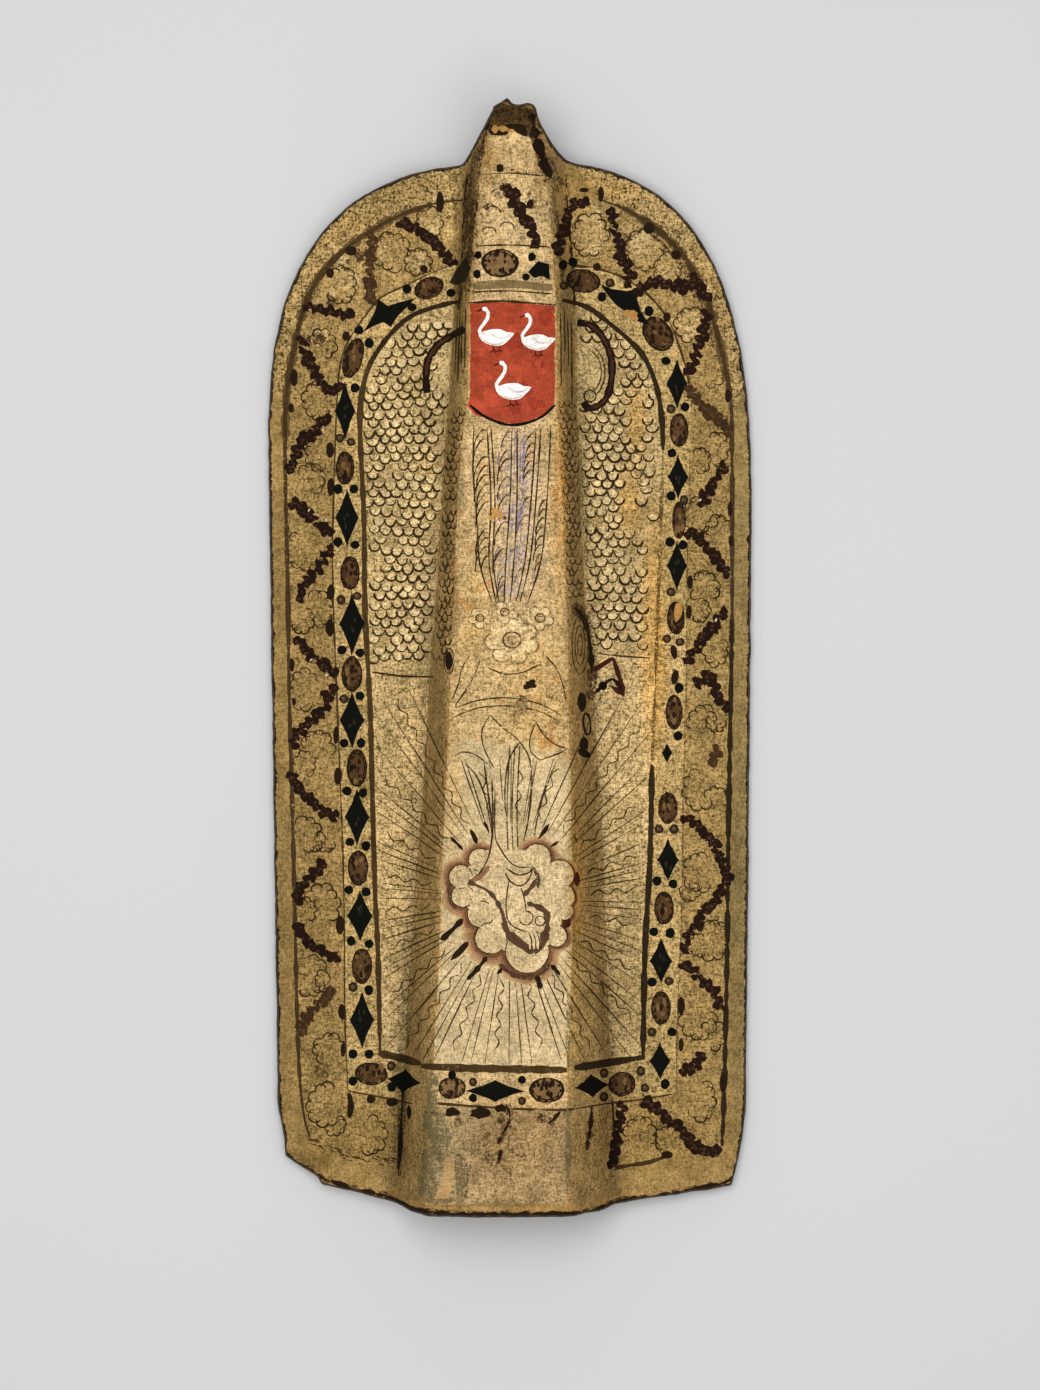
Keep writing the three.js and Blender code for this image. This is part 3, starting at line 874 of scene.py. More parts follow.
def leaf(x, y, size, turn, paint):
    """A lobed cloud of thin arcs, paler inside, as fills each plain triangle of the border."""
    count = 7 + int(size / 5)
    wide, high = size * uniform(0.85, 1.1), size * uniform(1.0, 1.35)
    if y < 330:
        disc((x, y), wide * 0.92, high * 0.92, "leaf_pale", 0, 12, 0.15)
    gap = uniform(0, 360)
    for k in range(count):
        angle = turn + (k + uniform(-0.2, 0.2)) * 360 / count
        if abs((angle - gap) % 360 - 180) < (24 if y < 330 else 66):
            continue
        way = np.array([math.cos(math.radians(angle)), math.sin(math.radians(angle))])
        place = np.array((x, y)) + way * (wide * 0.76, high * 0.76) * uniform(0.88, 1.08)
        radius = size * uniform(0.30, 0.42)
        ring(place, radius, radius, 1.5 * uniform(0.7, 1.2), paint, angle - 95, 190, 0, 9)
    for k in range(4):
        start = np.array((x, y)) + (uniform(-0.45, 0.45) * wide, uniform(-0.45, 0.45) * high)
        ring(start, size * 0.24, size * 0.2, 1.2, "faint_line", uniform(0, 360), 150, 0, 6)


LEFT_LEAVES = [
    (340, 285, 14), (392, 252, 16), (430, 222, 12), (418, 262, 12), (322, 345, 12), (318, 400, 14),
    (310, 480, 14), (318, 455, 11), (303, 550, 14), (318, 610, 14), (302, 620, 10), (305, 690, 14),
    (318, 750, 15), (304, 765, 10), (305, 835, 15), (325, 840, 9), (322, 905, 15), (305, 910, 10),
    (310, 975, 15), (326, 980, 9), (330, 1050, 13), (325, 1105, 15), (370, 1135, 14), (335, 1125, 9),
]
RIGHT_LEAVES = [
    (590, 235, 15), (645, 250, 15), (668, 270, 12), (690, 325, 14), (713, 370, 13), (715, 450, 13),
    (700, 460, 10), (700, 515, 14), (718, 530, 11), (705, 590, 14), (700, 610, 10), (715, 650, 12),
    (702, 725, 15), (716, 720, 9), (700, 790, 15), (716, 800, 10), (700, 872, 14), (690, 890, 9),
    (712, 940, 14), (700, 945, 9), (698, 1020, 15), (712, 1035, 11), (700, 1100, 14), (640, 1135, 14),
    (665, 1140, 9),
]


def leaves():
    """The leaves of the outer border."""
    for x, y, size in LEFT_LEAVES + RIGHT_LEAVES:
        leaf(x, y, size * 1.12, uniform(0, 360), choice(["leaf_line", "line"]))
LEFT_HOOK = [(465, 329), (451, 336), (437, 346), (428, 360), (426, 377), (427, 393)]
RIGHT_HOOK = [
    (577, 323), (588, 324), (598, 331), (606, 343), (611, 357), (612, 372), (610, 388), (605, 400),
    (596, 407), (588, 408), (583, 402),
]
KNOT_SHADOW = [
    (
        stroke,
        [(573, 604), (582, 616), (589, 632), (592, 655), (592, 680), (590, 700)],
        8.0, "umber_wash", 4, 0.7,
    ),
    (stroke, [(575, 607), (585, 622), (590, 645), (592, 672)], 4.6, "umber", 4, 0.6),
    (ring, (587, 724), 3.6, 11, 2.4, "umber", 0, 360, -6, 14),
    (fill, [(608, 684), (615, 687), (624, 688), (625, 697), (616, 693)], "dark_red"),
]
KNOT_RIBBONS = [
    (stroke, [(592, 671), (602, 665), (613, 658)], 3.8, "dark_red", 5, 0.5),
    (stroke, [(613, 658), (618, 673), (624, 692)], 4.4, "dark_red", 5, 0.5),
    (stroke, [(595, 693), (605, 684), (613, 679), (623, 691)], 3.6, "bead", 5, 0.4),
]
KNOT_ENDS = [
    (disc, (584, 753), 7, 4, "umber", 30),
    (ring, (449, 661), 5.0, 13, 1.1, "fine_line", 0, 360, 0, 16),
]


def scrolls():
    """The dark red hooks on both wings below the arches, and the knots on the ridge's flanks."""
    for points in (LEFT_HOOK, RIGHT_HOOK):
        stroke(points, 7.6, "bead", 4, 0.2, 0.8, 0.8)
        stroke(points[1:-1], 2.0, "bead_heart", 5, 0.8)
    ring((590, 396), 6, 6, 1.8, "line")
    for radius in (22, 27):
        ring((586, 372), radius * 0.7, radius, 1.4, "fine_line", -70, 140)
    draw(KNOT_SHADOW)
    for wide, high in ((8, 29), (5, 20), (2.4, 11)):
        ring((580, 645), wide, high, 1.1, "fine_line", 0, 360, 0, 20)
    draw(KNOT_RIBBONS)
    dot(603, 686, 4.6)
    draw(KNOT_ENDS)


RED_SHIELD = [
    (470, 304), (500, 302), (530, 304), (555, 306), (556, 360), (554, 406), (543, 415), (530, 421),
    (515, 424), (500, 422), (482, 415), (470, 406), (469, 360),
]
RED_STAINS = 26
SWANS = [(495, 337, 0.97), (537, 342, 0.93), (512, 391, 0.97)]  # place and size
SHIELD_EDGE = [
    (stroke, [(469, 303), (500, 301), (530, 303), (556, 305)], 2.2, "line", 8, 0.3),
    (
        stroke,
        [(470, 405), (482, 415), (500, 423), (515, 425), (530, 422), (543, 416), (555, 405)],
        3.0, "black", 6, 0.2,
    ),
]


def escutcheon():
    """The red shield with three plain swans."""
    fill(RED_SHIELD, "red")
    for _ in range(RED_STAINS):
        x, y = uniform(476, 548), uniform(310, 408)
        size = uniform(4, 10)
        name = choice(["red_light", "red_dark"])
        disc((x, y), size, size * 0.8, name, uniform(0, 90), 10, 0.3)
    for fold in (part(LEFT_FOLD, 306, 404), part(RIGHT_FOLD, 308, 402)):
        stroke(fold, 3.0, "fold_wear", 5, 0.6)
    draw(SHIELD_EDGE)
    for x, y, size in SWANS:
        swan(x, y, size)


SWAN_BODY = [
    (-17, -3), (-14, 3), (-8, 7), (0, 9), (8, 8), (14, 3), (20, -4), (12, -5), (6, -8), (-3, -8), (-11, -6),
]
SWAN_NECK = [(-14, -1), (-16, -7), (-12, -13), (-8, -19), (-7, -25), (-10, -29)]


def swan(x, y, size):
    """A plain white swan standing, its neck an S to the left."""
    at = lambda points: [(x + size * a, y + size * b) for a, b in points]
    fill(smooth(at(SWAN_BODY), 4, True), "swan")
    stroke(at(SWAN_NECK), 3.5 * size, "swan", 3, 0.08, 0.9, 0.9)
    disc(at([(-10.5, -29)])[0], 2.9 * size, 2.2 * size, "swan")
    stroke(at([(-13, -28.8), (-19, -26)]), 1.5 * size, "black", 9, 0.1, 1, 0.3)
    stroke(at([(-4, -4), (3, 1), (12, 0), (18, -4)]), 1.1 * size, "swan_shade", 5, 0.2)
    stroke(at([(-12, 3), (-5, 7), (4, 7.5), (10, 5)]), 1.6 * size, "swan_shade", 5, 0.2)
    for foot in (-2, 4):
        stroke(at([(foot, 9), (foot + 0.5, 14), (foot - 4, 16)]), 1.4 * size, "black", 9, 0.1)
        stroke(at([(foot + 0.5, 13.5), (foot + 3.5, 15)]), 1.1 * size, "black", 9, 0.1)


PLUMES = [  # each shaft, the side its barbs hang on, how far they reach, and where they begin and end
    ([(474, 425), (473, 469), (477, 521), (480, 565), (492, 602)], -1, 0, 0, 0),
    ([(487, 428), (491, 500), (489, 560), (496, 602)], -1, 14, 430, 560),
    ([(491, 428), (495, 500), (493, 560), (499, 602)], 1, 0, 0, 0),
    ([(512, 430), (510, 500), (506, 560), (504, 602)], -1, 13, 432, 590),
    ([(517, 430), (517, 500), (514, 560), (510, 602)], 1, 0, 0, 0),
    ([(536, 430), (531, 500), (525, 560), (516, 602)], -1, 12, 434, 585),
    ([(541, 428), (536, 500), (530, 560), (520, 602)], 1, 0, 0, 0),
    ([(551, 424), (547, 500), (541, 560), (528, 602)], -1, 9, 500, 590),
]
BARB = [(0, 0), (0.35, 0.0), (0.72, 0.5), (0.95, 1.1), (1.0, 1.8)]


def plumes():
    """Tall feathers standing out of a rosette, their barbs drooping from the shafts."""
    stroke([(517, 430), (517, 470), (515, 530), (508, 596)], 26, "violet_wash", 8, 0.3, 0.9, 0.5)
    for shaft, way, reach, top, bottom in PLUMES:
        stroke(shaft, 1.5, "line", 8, 0.4)
        for y in np.arange(top, bottom, 9.0):
            x = x_on(shaft, y)
            long = reach * uniform(0.8, 1.1) * (1 if y < 550 else 0.6)
            if chance() < 0.12 or math.hypot(x - 497, y - 513) < 12:
                continue
            name = "violet" if 505 < x < 540 and chance() < 0.4 else "line"
            stroke([(x + way * long * a, y + long * b) for a, b in BARB], 1.4, name, 4, 0.45)
    for x in (515, 521, 524):
        stroke([(x, 432), (x - 1, 470), (x - 3, 530), (x - 7, 585)], 1.3, "violet", 8, 0.6)


def rosette(x, y, size, petals):
    """A faint flower seen from the front."""
    for k in range(petals):
        angle = math.radians(360 * k / petals + 20)
        place = (x + size * 0.66 * math.cos(angle), y + size * 0.6 * math.sin(angle))
        disc(place, size * 0.3, size * 0.26, "scale_light", 0, 10, 0.1)
        ring(place, size * 0.36, size * 0.32, 1.3, "faint_line", math.degrees(angle) - 110, 220, 0, 9)
    ring((x, y), size * 0.34, size * 0.3, 1.4, "fine_line")
    ring((x, y), size * 0.16, size * 0.14, 1.2, "faint_line")


ROSETTES = [(512, 640, 27, 7), (505, 612, 13, 5), (540, 618, 14, 5), (480, 618, 12, 5)]
RIBBONS = [
    [(470, 655), (462, 668), (458, 685), (452, 700)],
    [(480, 660), (474, 676), (466, 690), (455, 706)],
    [(488, 668), (505, 674), (524, 672), (540, 664)],
    [(455, 708), (480, 700), (510, 698), (540, 704), (562, 716)],
    [(452, 718), (478, 708), (508, 706), (538, 711), (560, 722)],
    [(545, 655), (556, 668), (562, 682), (566, 700)],
    [(490, 715), (482, 730), (484, 748), (494, 768)],
    [(490, 715), (503, 728), (513, 735), (520, 742)],
    [(520, 742), (509, 760), (505, 790), (506, 830)],
    [(520, 742), (530, 760), (531, 790), (527, 830)],
    [(536, 722), (544, 735), (556, 745), (566, 748)],
    [(536, 722), (530, 738), (531, 752), (540, 760)],
    [(540, 760), (552, 756), (562, 752), (568, 748)],
    [(466, 765), (476, 775), (486, 800), (492, 835)],
    [(556, 762), (545, 790), (538, 815), (534, 838)],
    [(454, 756), (462, 752), (474, 754), (488, 764)],
]
MANTLING_MARKS = [
    (disc, (531, 684), 5.5, 4.5, "umber", 0, 12, 0.3),
    (disc, (526, 687), 3, 2.4, "umber", 0, 9, 0.3),
    (disc, (521, 704), 6.5, 10.5, "olive_wash", 0, 12, 0.2),
    (disc, (521, 699), 4.5, 4, "umber_wash", 0, 9, 0.3),
    (disc, (524, 711), 3, 3, "umber_wash", 0, 9, 0.3),
    (disc, (514, 718), 1.6, 7, "olive_wash", 0, 9, 0.3),
    (
        fill,
        [(485, 762), (492, 770), (500, 790), (506, 815), (509, 838), (500, 832), (493, 812), (488, 790)],
        "stain",
    ),
]
STEM_EDGES = [
    (stroke, [(484, 762), (489, 800), (494, 840), (497, 872)], 1.6, "line", 9, 0.3),
    (stroke, [(532, 775), (530, 810), (524, 840), (519, 868)], 1.4, "fine_line", 9, 0.3),
]


def mantling():
    """Ribbons, leaves and stems between the rosette and the clouds."""
    for x, y, size, petals in ROSETTES:
        rosette(x, y, size, petals)
    for points in RIBBONS:
        stroke(points, 1.5, "fine_line", 6, 0.35)
    draw(MANTLING_MARKS)
    for x in (508, 513, 518):
        stroke([(x + 2, 745), (x, 780), (x - 1, 820), (x + 1, 868)], 1.3, "fine_line", 9, 0.3)
    draw(STEM_EDGES)


CLOUDS = [  # middle and radius
    (480, 860, 11.5), (461, 877, 12), (463, 896, 11.5), (481, 914, 13.5), (491, 938, 16), (527, 951, 22),
    (537, 858, 14), (559, 875, 15), (561, 897, 14), (565, 912, 8), (556, 936, 11),
]
CLOUD_HEART = [
    (480, 850), (537, 850), (560, 872), (566, 905), (556, 940), (527, 960), (491, 945), (463, 900),
    (463, 875),
]
SLEEVE = [
    (492, 790), (494, 820), (492, 838), (488, 858), (479, 874), (469, 881), (480, 886), (492, 893),
    (500, 903), (505, 915), (508, 922), (512, 900), (508, 880), (512, 868), (505, 858), (499, 846),
    (495, 834), (497, 810),
]
WRIST = [
    (509, 884), (521, 888), (524, 896), (528, 908), (532, 920), (528, 932), (516, 928), (508, 918),
    (506, 900),
]
SPARKS = [  # the strokes that fly off the clouds: start, end, width
    ((450, 837), (463, 850), 3.4), ((470, 829), (477, 844), 4), ((484, 822), (489, 833), 3.4),
    ((538, 839), (549, 824), 3.6), ((550, 847), (559, 841), 3.4), ((441, 940), (463, 919), 5.4),
    ((451, 960), (468, 942), 5.4), ((467, 980), (487, 957), 5.2), ((497, 974), (502, 968), 4.4),
    ((551, 965), (560, 975), 5), ((536, 975), (541, 989), 5), ((574, 835), (577, 843), 3),
]
HALO = ((12.5, "halo_faint"), (9.5, "halo_light"), (7.0, "halo"), (4.0, "halo_dark"))
HALO_DEPTHS = [
    (
        stroke,
        [(500, 964), (506, 970), (517, 976), (530, 977), (543, 972), (549, 964)],
        6, "halo_deep", 4, 0.6,
    ),
    (stroke, [(449, 880), (450, 898), (456, 909)], 4.5, "halo_deep", 4, 0.5),
    (stroke, [(577, 872), (577, 886)], 7, "dark_red", 5, 0.4),
    (stroke, [(563, 921), (570, 926)], 8, "dark_red", 5, 0.4),
]
ARM = [
    (ring, (527, 951), 20.0, 20.0, 2.6, "cloud_light", 20, 130, 0, 14),
    (ring, (565, 911), 7.2, 7.2, 2.2, "cloud_light", -40, 150, 0, 9),
    (fill, SLEEVE, "cloud_ground"),
    (stroke, [(492, 780), (493, 820), (492, 838), (488, 858), (479, 874), (469, 881)], 1.6, "line", 5, 0.3),
    (stroke, [(489, 866), (480, 877), (470, 882)], 4.5, "halo", 5, 0.3),
    (stroke, [(495, 790), (495, 834), (499, 846), (508, 860), (518, 867), (533, 867)], 1.4, "line", 5, 0.3),
    (fill, [(507, 868), (520, 870), (533, 867), (529, 879), (521, 886), (511, 882)], "cloud_ground"),
    (
        stroke,
        [(505, 873), (511, 882), (521, 886), (529, 879), (533, 867), (530, 872), (518, 875), (506, 868)],
        1.5, "line", 4, 0.3,
    ),
    (fill, WRIST, "cloud_ground"),
    (stroke, [(509, 880), (506, 904), (508, 920), (516, 928), (528, 932)], 1.5, "line", 4, 0.3),
    (stroke, [(521, 888), (524, 897), (526, 910)], 1.3, "line", 4, 0.3),
    (
        stroke,
        [(468, 882), (476, 885), (488, 891), (496, 900), (502, 912), (505, 924)],
        4.2, "arm_shade", 4, 0.5, 0.9,
    ),
    (stroke, [(504, 922), (508, 933), (521, 944), (534, 952)], 7.0, "arm_shade", 4, 0.4, 0.9),
    (stroke, [(534, 952), (542, 946), (546, 930)], 7.0, "arm_shade", 4, 0.4, 0.8),
    (stroke, [(547, 932), (547, 914), (538, 907), (527, 903)], 5.2, "arm_shade", 4, 0.45, 0.8),
    (stroke, [(507, 930), (519, 942), (532, 951)], 2.2, "halo_deep", 4, 0.5),
    (stroke, [(545, 924), (546, 913), (537, 907)], 2.0, "halo_deep", 4, 0.5),
    (stroke, [(536, 951), (543, 942), (546, 928)], 4.0, "halo_deep", 4, 0.3),
    (stroke, [(523, 896), (530, 889), (537, 879)], 4.5, "arm_shade", 4, 0.4),
    (stroke, [(532, 866), (538, 876), (538, 888)], 3.2, "umber_wash", 4, 0.4),
    (disc, (526, 918), 7, 7, "cloud_ground", 0, 14),
    (ring, (526, 918), 7, 7, 1.3, "line", -100, 260, 0, 14),
    (disc, (540, 921), 5, 5, "cloud_ground", 0, 12),
    (ring, (540, 921), 5, 5, 1.3, "line", 0, 360),
]


def clouds():
    """A ring of round clouds with a soft brown halo, a sleeved arm at its heart, strokes flying off."""
    for grow, paint in HALO:
        for x, y, radius in CLOUDS:
            reach = radius + grow * (0.65 + 0.22 * (y - 850) / 100) * (0.5 if x > 545 else 1)
            disc((x, y + grow * 0.1), reach, reach, paint, 0, 20, 0.05)
    draw(HALO_DEPTHS)
    for x, y, radius in CLOUDS:
        disc((x, y), radius + 0.7, radius + 0.7, "line", 0, 20, 0.02)
    fill(CLOUD_HEART, "cloud_ground")
    for x, y, radius in CLOUDS:
        disc((x, y), radius - 0.4, radius - 0.4, "cloud_ground", 0, 20, 0.02)
    for x, y, radius in CLOUDS[:6]:
        inward = math.degrees(math.atan2(905 - y, 512 - x))
        ring((x, y), radius - 0.5, radius - 0.5, 1.1, "fine_line", inward - 75, 40)
        ring((x, y), radius - 0.5, radius - 0.5, 1.1, "fine_line", inward + 40, 30)
    draw(ARM)
    for x in (527, 531, 535):
        stroke([(x, 932), (x + 3, 940), (x + 3, 949)], 3.0, "cloud_ground_worn", 4, 0.2)
        stroke([(x + 1.6, 932), (x + 4.8, 941), (x + 4, 949)], 1.2, "line", 4, 0.3)
    for start, end, width in SPARKS:
        middle = ((start[0] + end[0]) / 2 + 0.6, (start[1] + end[1]) / 2)
        stroke([start, middle, end], width, "umber", 4, 0.4, 0.25, 0.25)


BEAK_CHAINS = [
    ([(505, 186), (513, 196), (517, 206)], 6.6),
    ([(518, 205), (521, 216), (529, 224), (533, 234), (537, 244)], 6.0),
]
BEAK_LOBES = [(493, 212), (507, 228), (489, 233), (498, 195)]
HALF_LOZENGE = [(528, 272), (538, 261), (549, 264), (550, 280), (542, 276), (534, 278)]
BEAK_DOTS = [(532, 257), (526, 277), (478, 255), (477, 274)]
BEAK_WEAR = [
    (stroke, [(488, 128), (500, 131), (513, 127), (526, 131), (537, 130)], 9, "umber", 5, 0.3, 0.8, 0.8),
    (disc, (495, 129), 4, 4, "ochre", 0, 12, 0.3),
    (disc, (503, 128), 5, 3.4, "ochre", 0, 12, 0.3),
    (disc, (511, 131), 3, 2, "ochre", 0, 12, 0.3),
    (
        stroke,
        [(532, 112), (535, 134), (539, 150), (546, 166), (553, 184)],
        12, "umber_wash", 4, 0.6, 0.8, 0.4,
    ),
    (stroke, [(532, 114), (535, 134), (540, 150), (546, 166), (551, 178)], 8, "umber", 4, 0.7, 0.8, 0.4),
    (stroke, [(549, 158), (556, 172), (563, 186)], 5, "umber_wash", 4, 0.6),
    (stroke, [(488, 118), (485, 134), (480, 152), (474, 172)], 7.0, "umber_wash", 4, 0.7),
    (stroke, [(489, 106), (488, 118), (487, 130)], 3.6, "umber", 4, 0.6),
    (disc, (500, 168), 4, 4.5, "umber", 0, 10, 0.15),
    (stroke, [(480, 175), (510, 173), (543, 176)], 1.3, "fine_line", 8, 0.4),
]
BEAK_BUDS = [
    (disc, (530, 204), 3.4, 5, "umber", 20),
    (disc, (499, 195), 5, 4, "faint_line", 20),
]
BEAK_BAND = [
    (stroke, [(473, 286), (510, 284), (552, 288)], 7.5, "band_grey", 8, 0.2, 0.9, 0.9),
    (stroke, [(472, 292), (510, 291), (553, 294)], 1.4, "line", 8, 0.3),
]


def beak():
    """The top of the facet: dark worn bands, a chain, a framed oval."""
    draw(BEAK_WEAR)
    for points, radius in BEAK_CHAINS:
        chain(points, radius)
    draw(BEAK_BUDS)
    for x, y in BEAK_LOBES:
        ring((x, y), 7, 6, 1.3, "fine_line", 190, 180)
    stroke([(476, 246), (510, 245), (550, 247)], 1.5, "line", 8, 0.4)
    jewel_oval(500, 263, 19, 14.5, 0, "oval_pale")
    fill(HALF_LOZENGE, "black")
    for x, y in BEAK_DOTS:
        dot(x, y, 4.0)
    draw(BEAK_BAND)


FLECKS = [(323, 430), (309, 510), (326, 520), (327, 675), (311, 660), (700, 500), (716, 620), (338, 565)]
FOOT_EDGE = [
    (290, 1158), (308, 1168), (324, 1179), (340, 1184), (356, 1190), (386, 1196), (411, 1208), (440, 1213),
    (480, 1214), (540, 1214), (580, 1213), (603, 1207), (620, 1201), (662, 1195), (700, 1188), (732, 1178),
    (739, 1150),
]
OLIVE_PATCHES = [
    (432, 1090, 7, 22), (434, 1122, 12, 12), (440, 1138, 12, 12), (432, 1160, 13, 14), (428, 1185, 11, 17),
    (461, 1168, 7, 10), (462, 1188, 6, 13), (440, 1200, 16, 4), (568, 1030, 2.5, 40), (568, 1150, 3, 45),
]
FOOT_STAINS = [
    (500, 1120, 10, 6), (455, 1122, 8, 5), (540, 1118, 9, 8), (485, 1135, 8, 6), (486, 1155, 6, 11),
]
FOOT_LEAVES = [(474, 1138, 13), (520, 1142, 12), (500, 1170, 10)]
DRIPS = [
    [(506, 1104), (510, 1118), (504, 1132), (498, 1144)],
    [(501, 1150), (498, 1164)],
    [(560, 1112), (549, 1124)],
    [(592, 1106), (590, 1130), (586, 1150)],
]
DARK_SPOTS = [(452, 1112, 8, 5), (479, 1113, 10, 6), (500, 1108, 6, 4)]
OCHRE_SPOTS = [(497, 513, 5, 5), (503, 517, 4, 3), (492, 518, 3, 3)]
FOOT_REPAIR = [
    (stroke, [(450, 1152), (461, 1157), (468, 1172), (465, 1198)], 1.6, "umber_wash", 4, 0.6),
    (stroke, [(416, 1152), (428, 1155), (441, 1154)], 1.6, "umber_wash", 4, 0.6),
    (fill, [(445, 1160), (455, 1159), (453, 1178), (449, 1198), (434, 1199), (443, 1180)], "beige"),
]


def foot_wear():
    """Worn colours and repairs towards the foot, and a few bare spots higher up."""
    for x, y, wide, high in OLIVE_PATCHES:
        disc((x, y), wide, high, "olive_wash", 0, 18, 0.22)
    draw(FOOT_REPAIR)
    for y in (1112, 1135, 1160, 1178):
        stroke([(424, y), (452, y + 2)], 1.2, "faint_line", 4, 0.6)
    for x, y, wide, high in FOOT_STAINS:
        disc((x, y), wide, high, "stain", 0, 14, 0.3)
        disc((x + 2, y), wide * 0.5, high * 0.6, "umber_wash", 0, 11, 0.35)
    for x, y, size in FOOT_LEAVES:
        leaf(x, y, size, uniform(0, 360), "faint_line")
    for points in DRIPS:
        stroke(points, 6.0, "umber_wash", 4, 0.8)
        stroke(points, 2.6, "umber", 4, 0.9)
    for x, y, wide, high in DARK_SPOTS:
        disc((x, y), wide, high, "umber", 0, 12, 0.25)
    stroke([(322, 1174), (345, 1182), (372, 1190), (392, 1196)], 5.0, "fold_wear", 5, 0.8)
    # a dark ragged band along the foot's edge
    for wide, paint in ((6.5, "umber_wash"), (4.0, "umber")):
        stroke(FOOT_EDGE, wide, paint, 5, 0.75, 0.3, 0.3)
    stroke([(x, y - 5) for x, y in FOOT_EDGE[4:-2]], 3.0, "fold_wear", 6, 0.8)
    for x, y, wide, high in OCHRE_SPOTS:
        disc((x, y), wide, high, "ochre", 0, 12, 0.35)
        disc((x + 2, y + 1), 1.6, 2, "umber_wash", 0, 8, 0.4)
    for x, y in FLECKS:
        disc((x, y), 0.9, 1.9, "fleck", uniform(0, 60), 8, 0.2)


for paint_part in (
    grounds, worn_folds, leaves, fish_scales, rays, wing_lines, bumps, jewels, chains, scrolls, plumes,
    mantling, clouds, beak, escutcheon, foot_wear,
):
    paint_part()


# The board's mesh

FRONT_ROUNDING, BACK_ROUNDING = 2.0, 2.4
FRONT_ROW_STEP, BACK_ROW_STEP = 7.0, 14.0
ACROSS_FACET, ROUND_A_FOLD, DOWN_A_FLANK, WING_STEP = 9, 6, 5, 6.0
FRONT_GAP, BACK_GAP = 2.5, 4.0  # how far the loose points keep from the edge
ROUNDED, FLAT = (0.35, 0.7, 1.0), (0.33, 0.66, 1.0)  # shares of the front rounding, of the edge below it
CANVAS, EDGE, BACK = 0, 1, 2  # the mesh's materials


def skin_points(depth, row_step):
    """Rows of points across the board, closest together where the ridge bends."""
    rows = []
    for y in np.arange(FOOT_Y + 1.5, TIP_Y - 1, row_step):
        for side in (-1, 1):
            beside = RIDGE_LEAN * y / LENGTH + side * 1e-6
            centre, _, _, lean, fold, crease = ridge_at(beside, y)
            fold_radius, crease_radius = FOLD_RADIUS - depth, CREASE_RADIUS + depth
            fold_end = fold + fold_radius * math.sin(lean)
            crease_start = crease - crease_radius * math.sin(lean)
            away = [
                np.linspace(0 if side > 0 else fold / ACROSS_FACET, fold, ACROSS_FACET, endpoint=False),
                fold + fold_radius * np.sin(np.linspace(0, lean, ROUND_A_FOLD)),
                np.linspace(fold_end, crease_start, DOWN_A_FLANK)[1:-1],
                crease - crease_radius * np.sin(np.linspace(lean, 0, ROUND_A_FOLD)),
                np.arange(crease + 5, HALF_WIDTH + 10, WING_STEP),
            ]
            away = np.concatenate(away)
            rows.append(np.stack([centre + side * away, np.full(len(away), y)], 1))
    return np.vstack(rows)


def clear_of(points, edge, gap):
    """Points inside the edge and at least gap from it."""
    points = points[inside(points, edge)]
    near = np.array([np.min(np.sum((edge - p) ** 2, 1)) for p in points])
    return points[near > gap**2]


def triangulate(edge, loose, shapes=()):
    """Triangles inside the edge, through the loose points, split along the shapes' outlines."""
    verts = [Vector(p) for p in edge]
    faces = [list(range(len(edge)))]
    for polygon, _ in shapes:
        faces.append(list(range(len(verts), len(verts) + len(polygon))))
        verts.extend(Vector(p) for p in polygon)
    verts.extend(Vector(p) for p in loose)
    points, _, triangles, origin, _, _ = delaunay_2d_cdt(verts, [], faces, 1, 1e-4, True)
    edge_place = {}
    for i, came_from in enumerate(origin):
        for k in came_from:
            if k < len(edge):
                edge_place[k] = i
    points = np.array([tuple(p) for p in points])
    triangles = np.array([t for t in triangles if len(t) == 3])
    kept = triangles[inside(points[triangles].mean(1), edge)]
    used = np.unique(kept)
    place = np.full(len(points), -1)
    place[used] = np.arange(len(used))
    edge_place = {k: int(place[i]) for k, i in edge_place.items() if place[i] >= 0}
    return points[used], place[kept], edge_place


def placed_shapes():
    """The painting's shapes laid on the board, anticlockwise."""
    every = photo(np.vstack([polygon for polygon, _ in painting.shapes]))
    shapes, start = [], 0
    for polygon, paint in painting.shapes:
        laid = every[start : start + len(polygon)]
        start += len(polygon)
        turn = np.sum(laid[:, 0] * np.roll(laid[:, 1], -1) - laid[:, 1] * np.roll(laid[:, 0], -1))
        shapes.append((laid if turn > 0 else laid[::-1], paint))
    return shapes


def owners(points, triangles, shapes):
    """For each triangle the ground it lies on and the pigment over it, or -1."""
    middles = points[triangles].mean(1)
    order = np.argsort(middles[:, 1])
    sorted_y = middles[order, 1]
    ground = np.full(len(triangles), PAINT_NAMES.index("rim_ground"))
    pigment = np.full(len(triangles), -1)
    for polygon, paint in shapes:
        low, high = polygon.min(0), polygon.max(0)
        near = order[np.searchsorted(sorted_y, low[1]) : np.searchsorted(sorted_y, high[1])]
        near = near[(middles[near, 0] > low[0]) & (middles[near, 0] < high[0])]
        if not len(near):
            continue
        hit = near[inside(middles[near], polygon)]
        if paint < len(GROUNDS):
            ground[hit] = paint
            pigment[hit] = -1
        else:
            pigment[hit] = paint
    return ground, pigment


BROAD_WAVE, SMALL_WAVE = (0.7, 70), (0.25, 19)  # how high, how long


def wander(x, y):
    """Slow unevenness of the hand-made front, in millimetres."""
    return sum(high * noise.noise(Vector((x, y, 0)) / long) for high, long in (BROAD_WAVE, SMALL_WAVE))


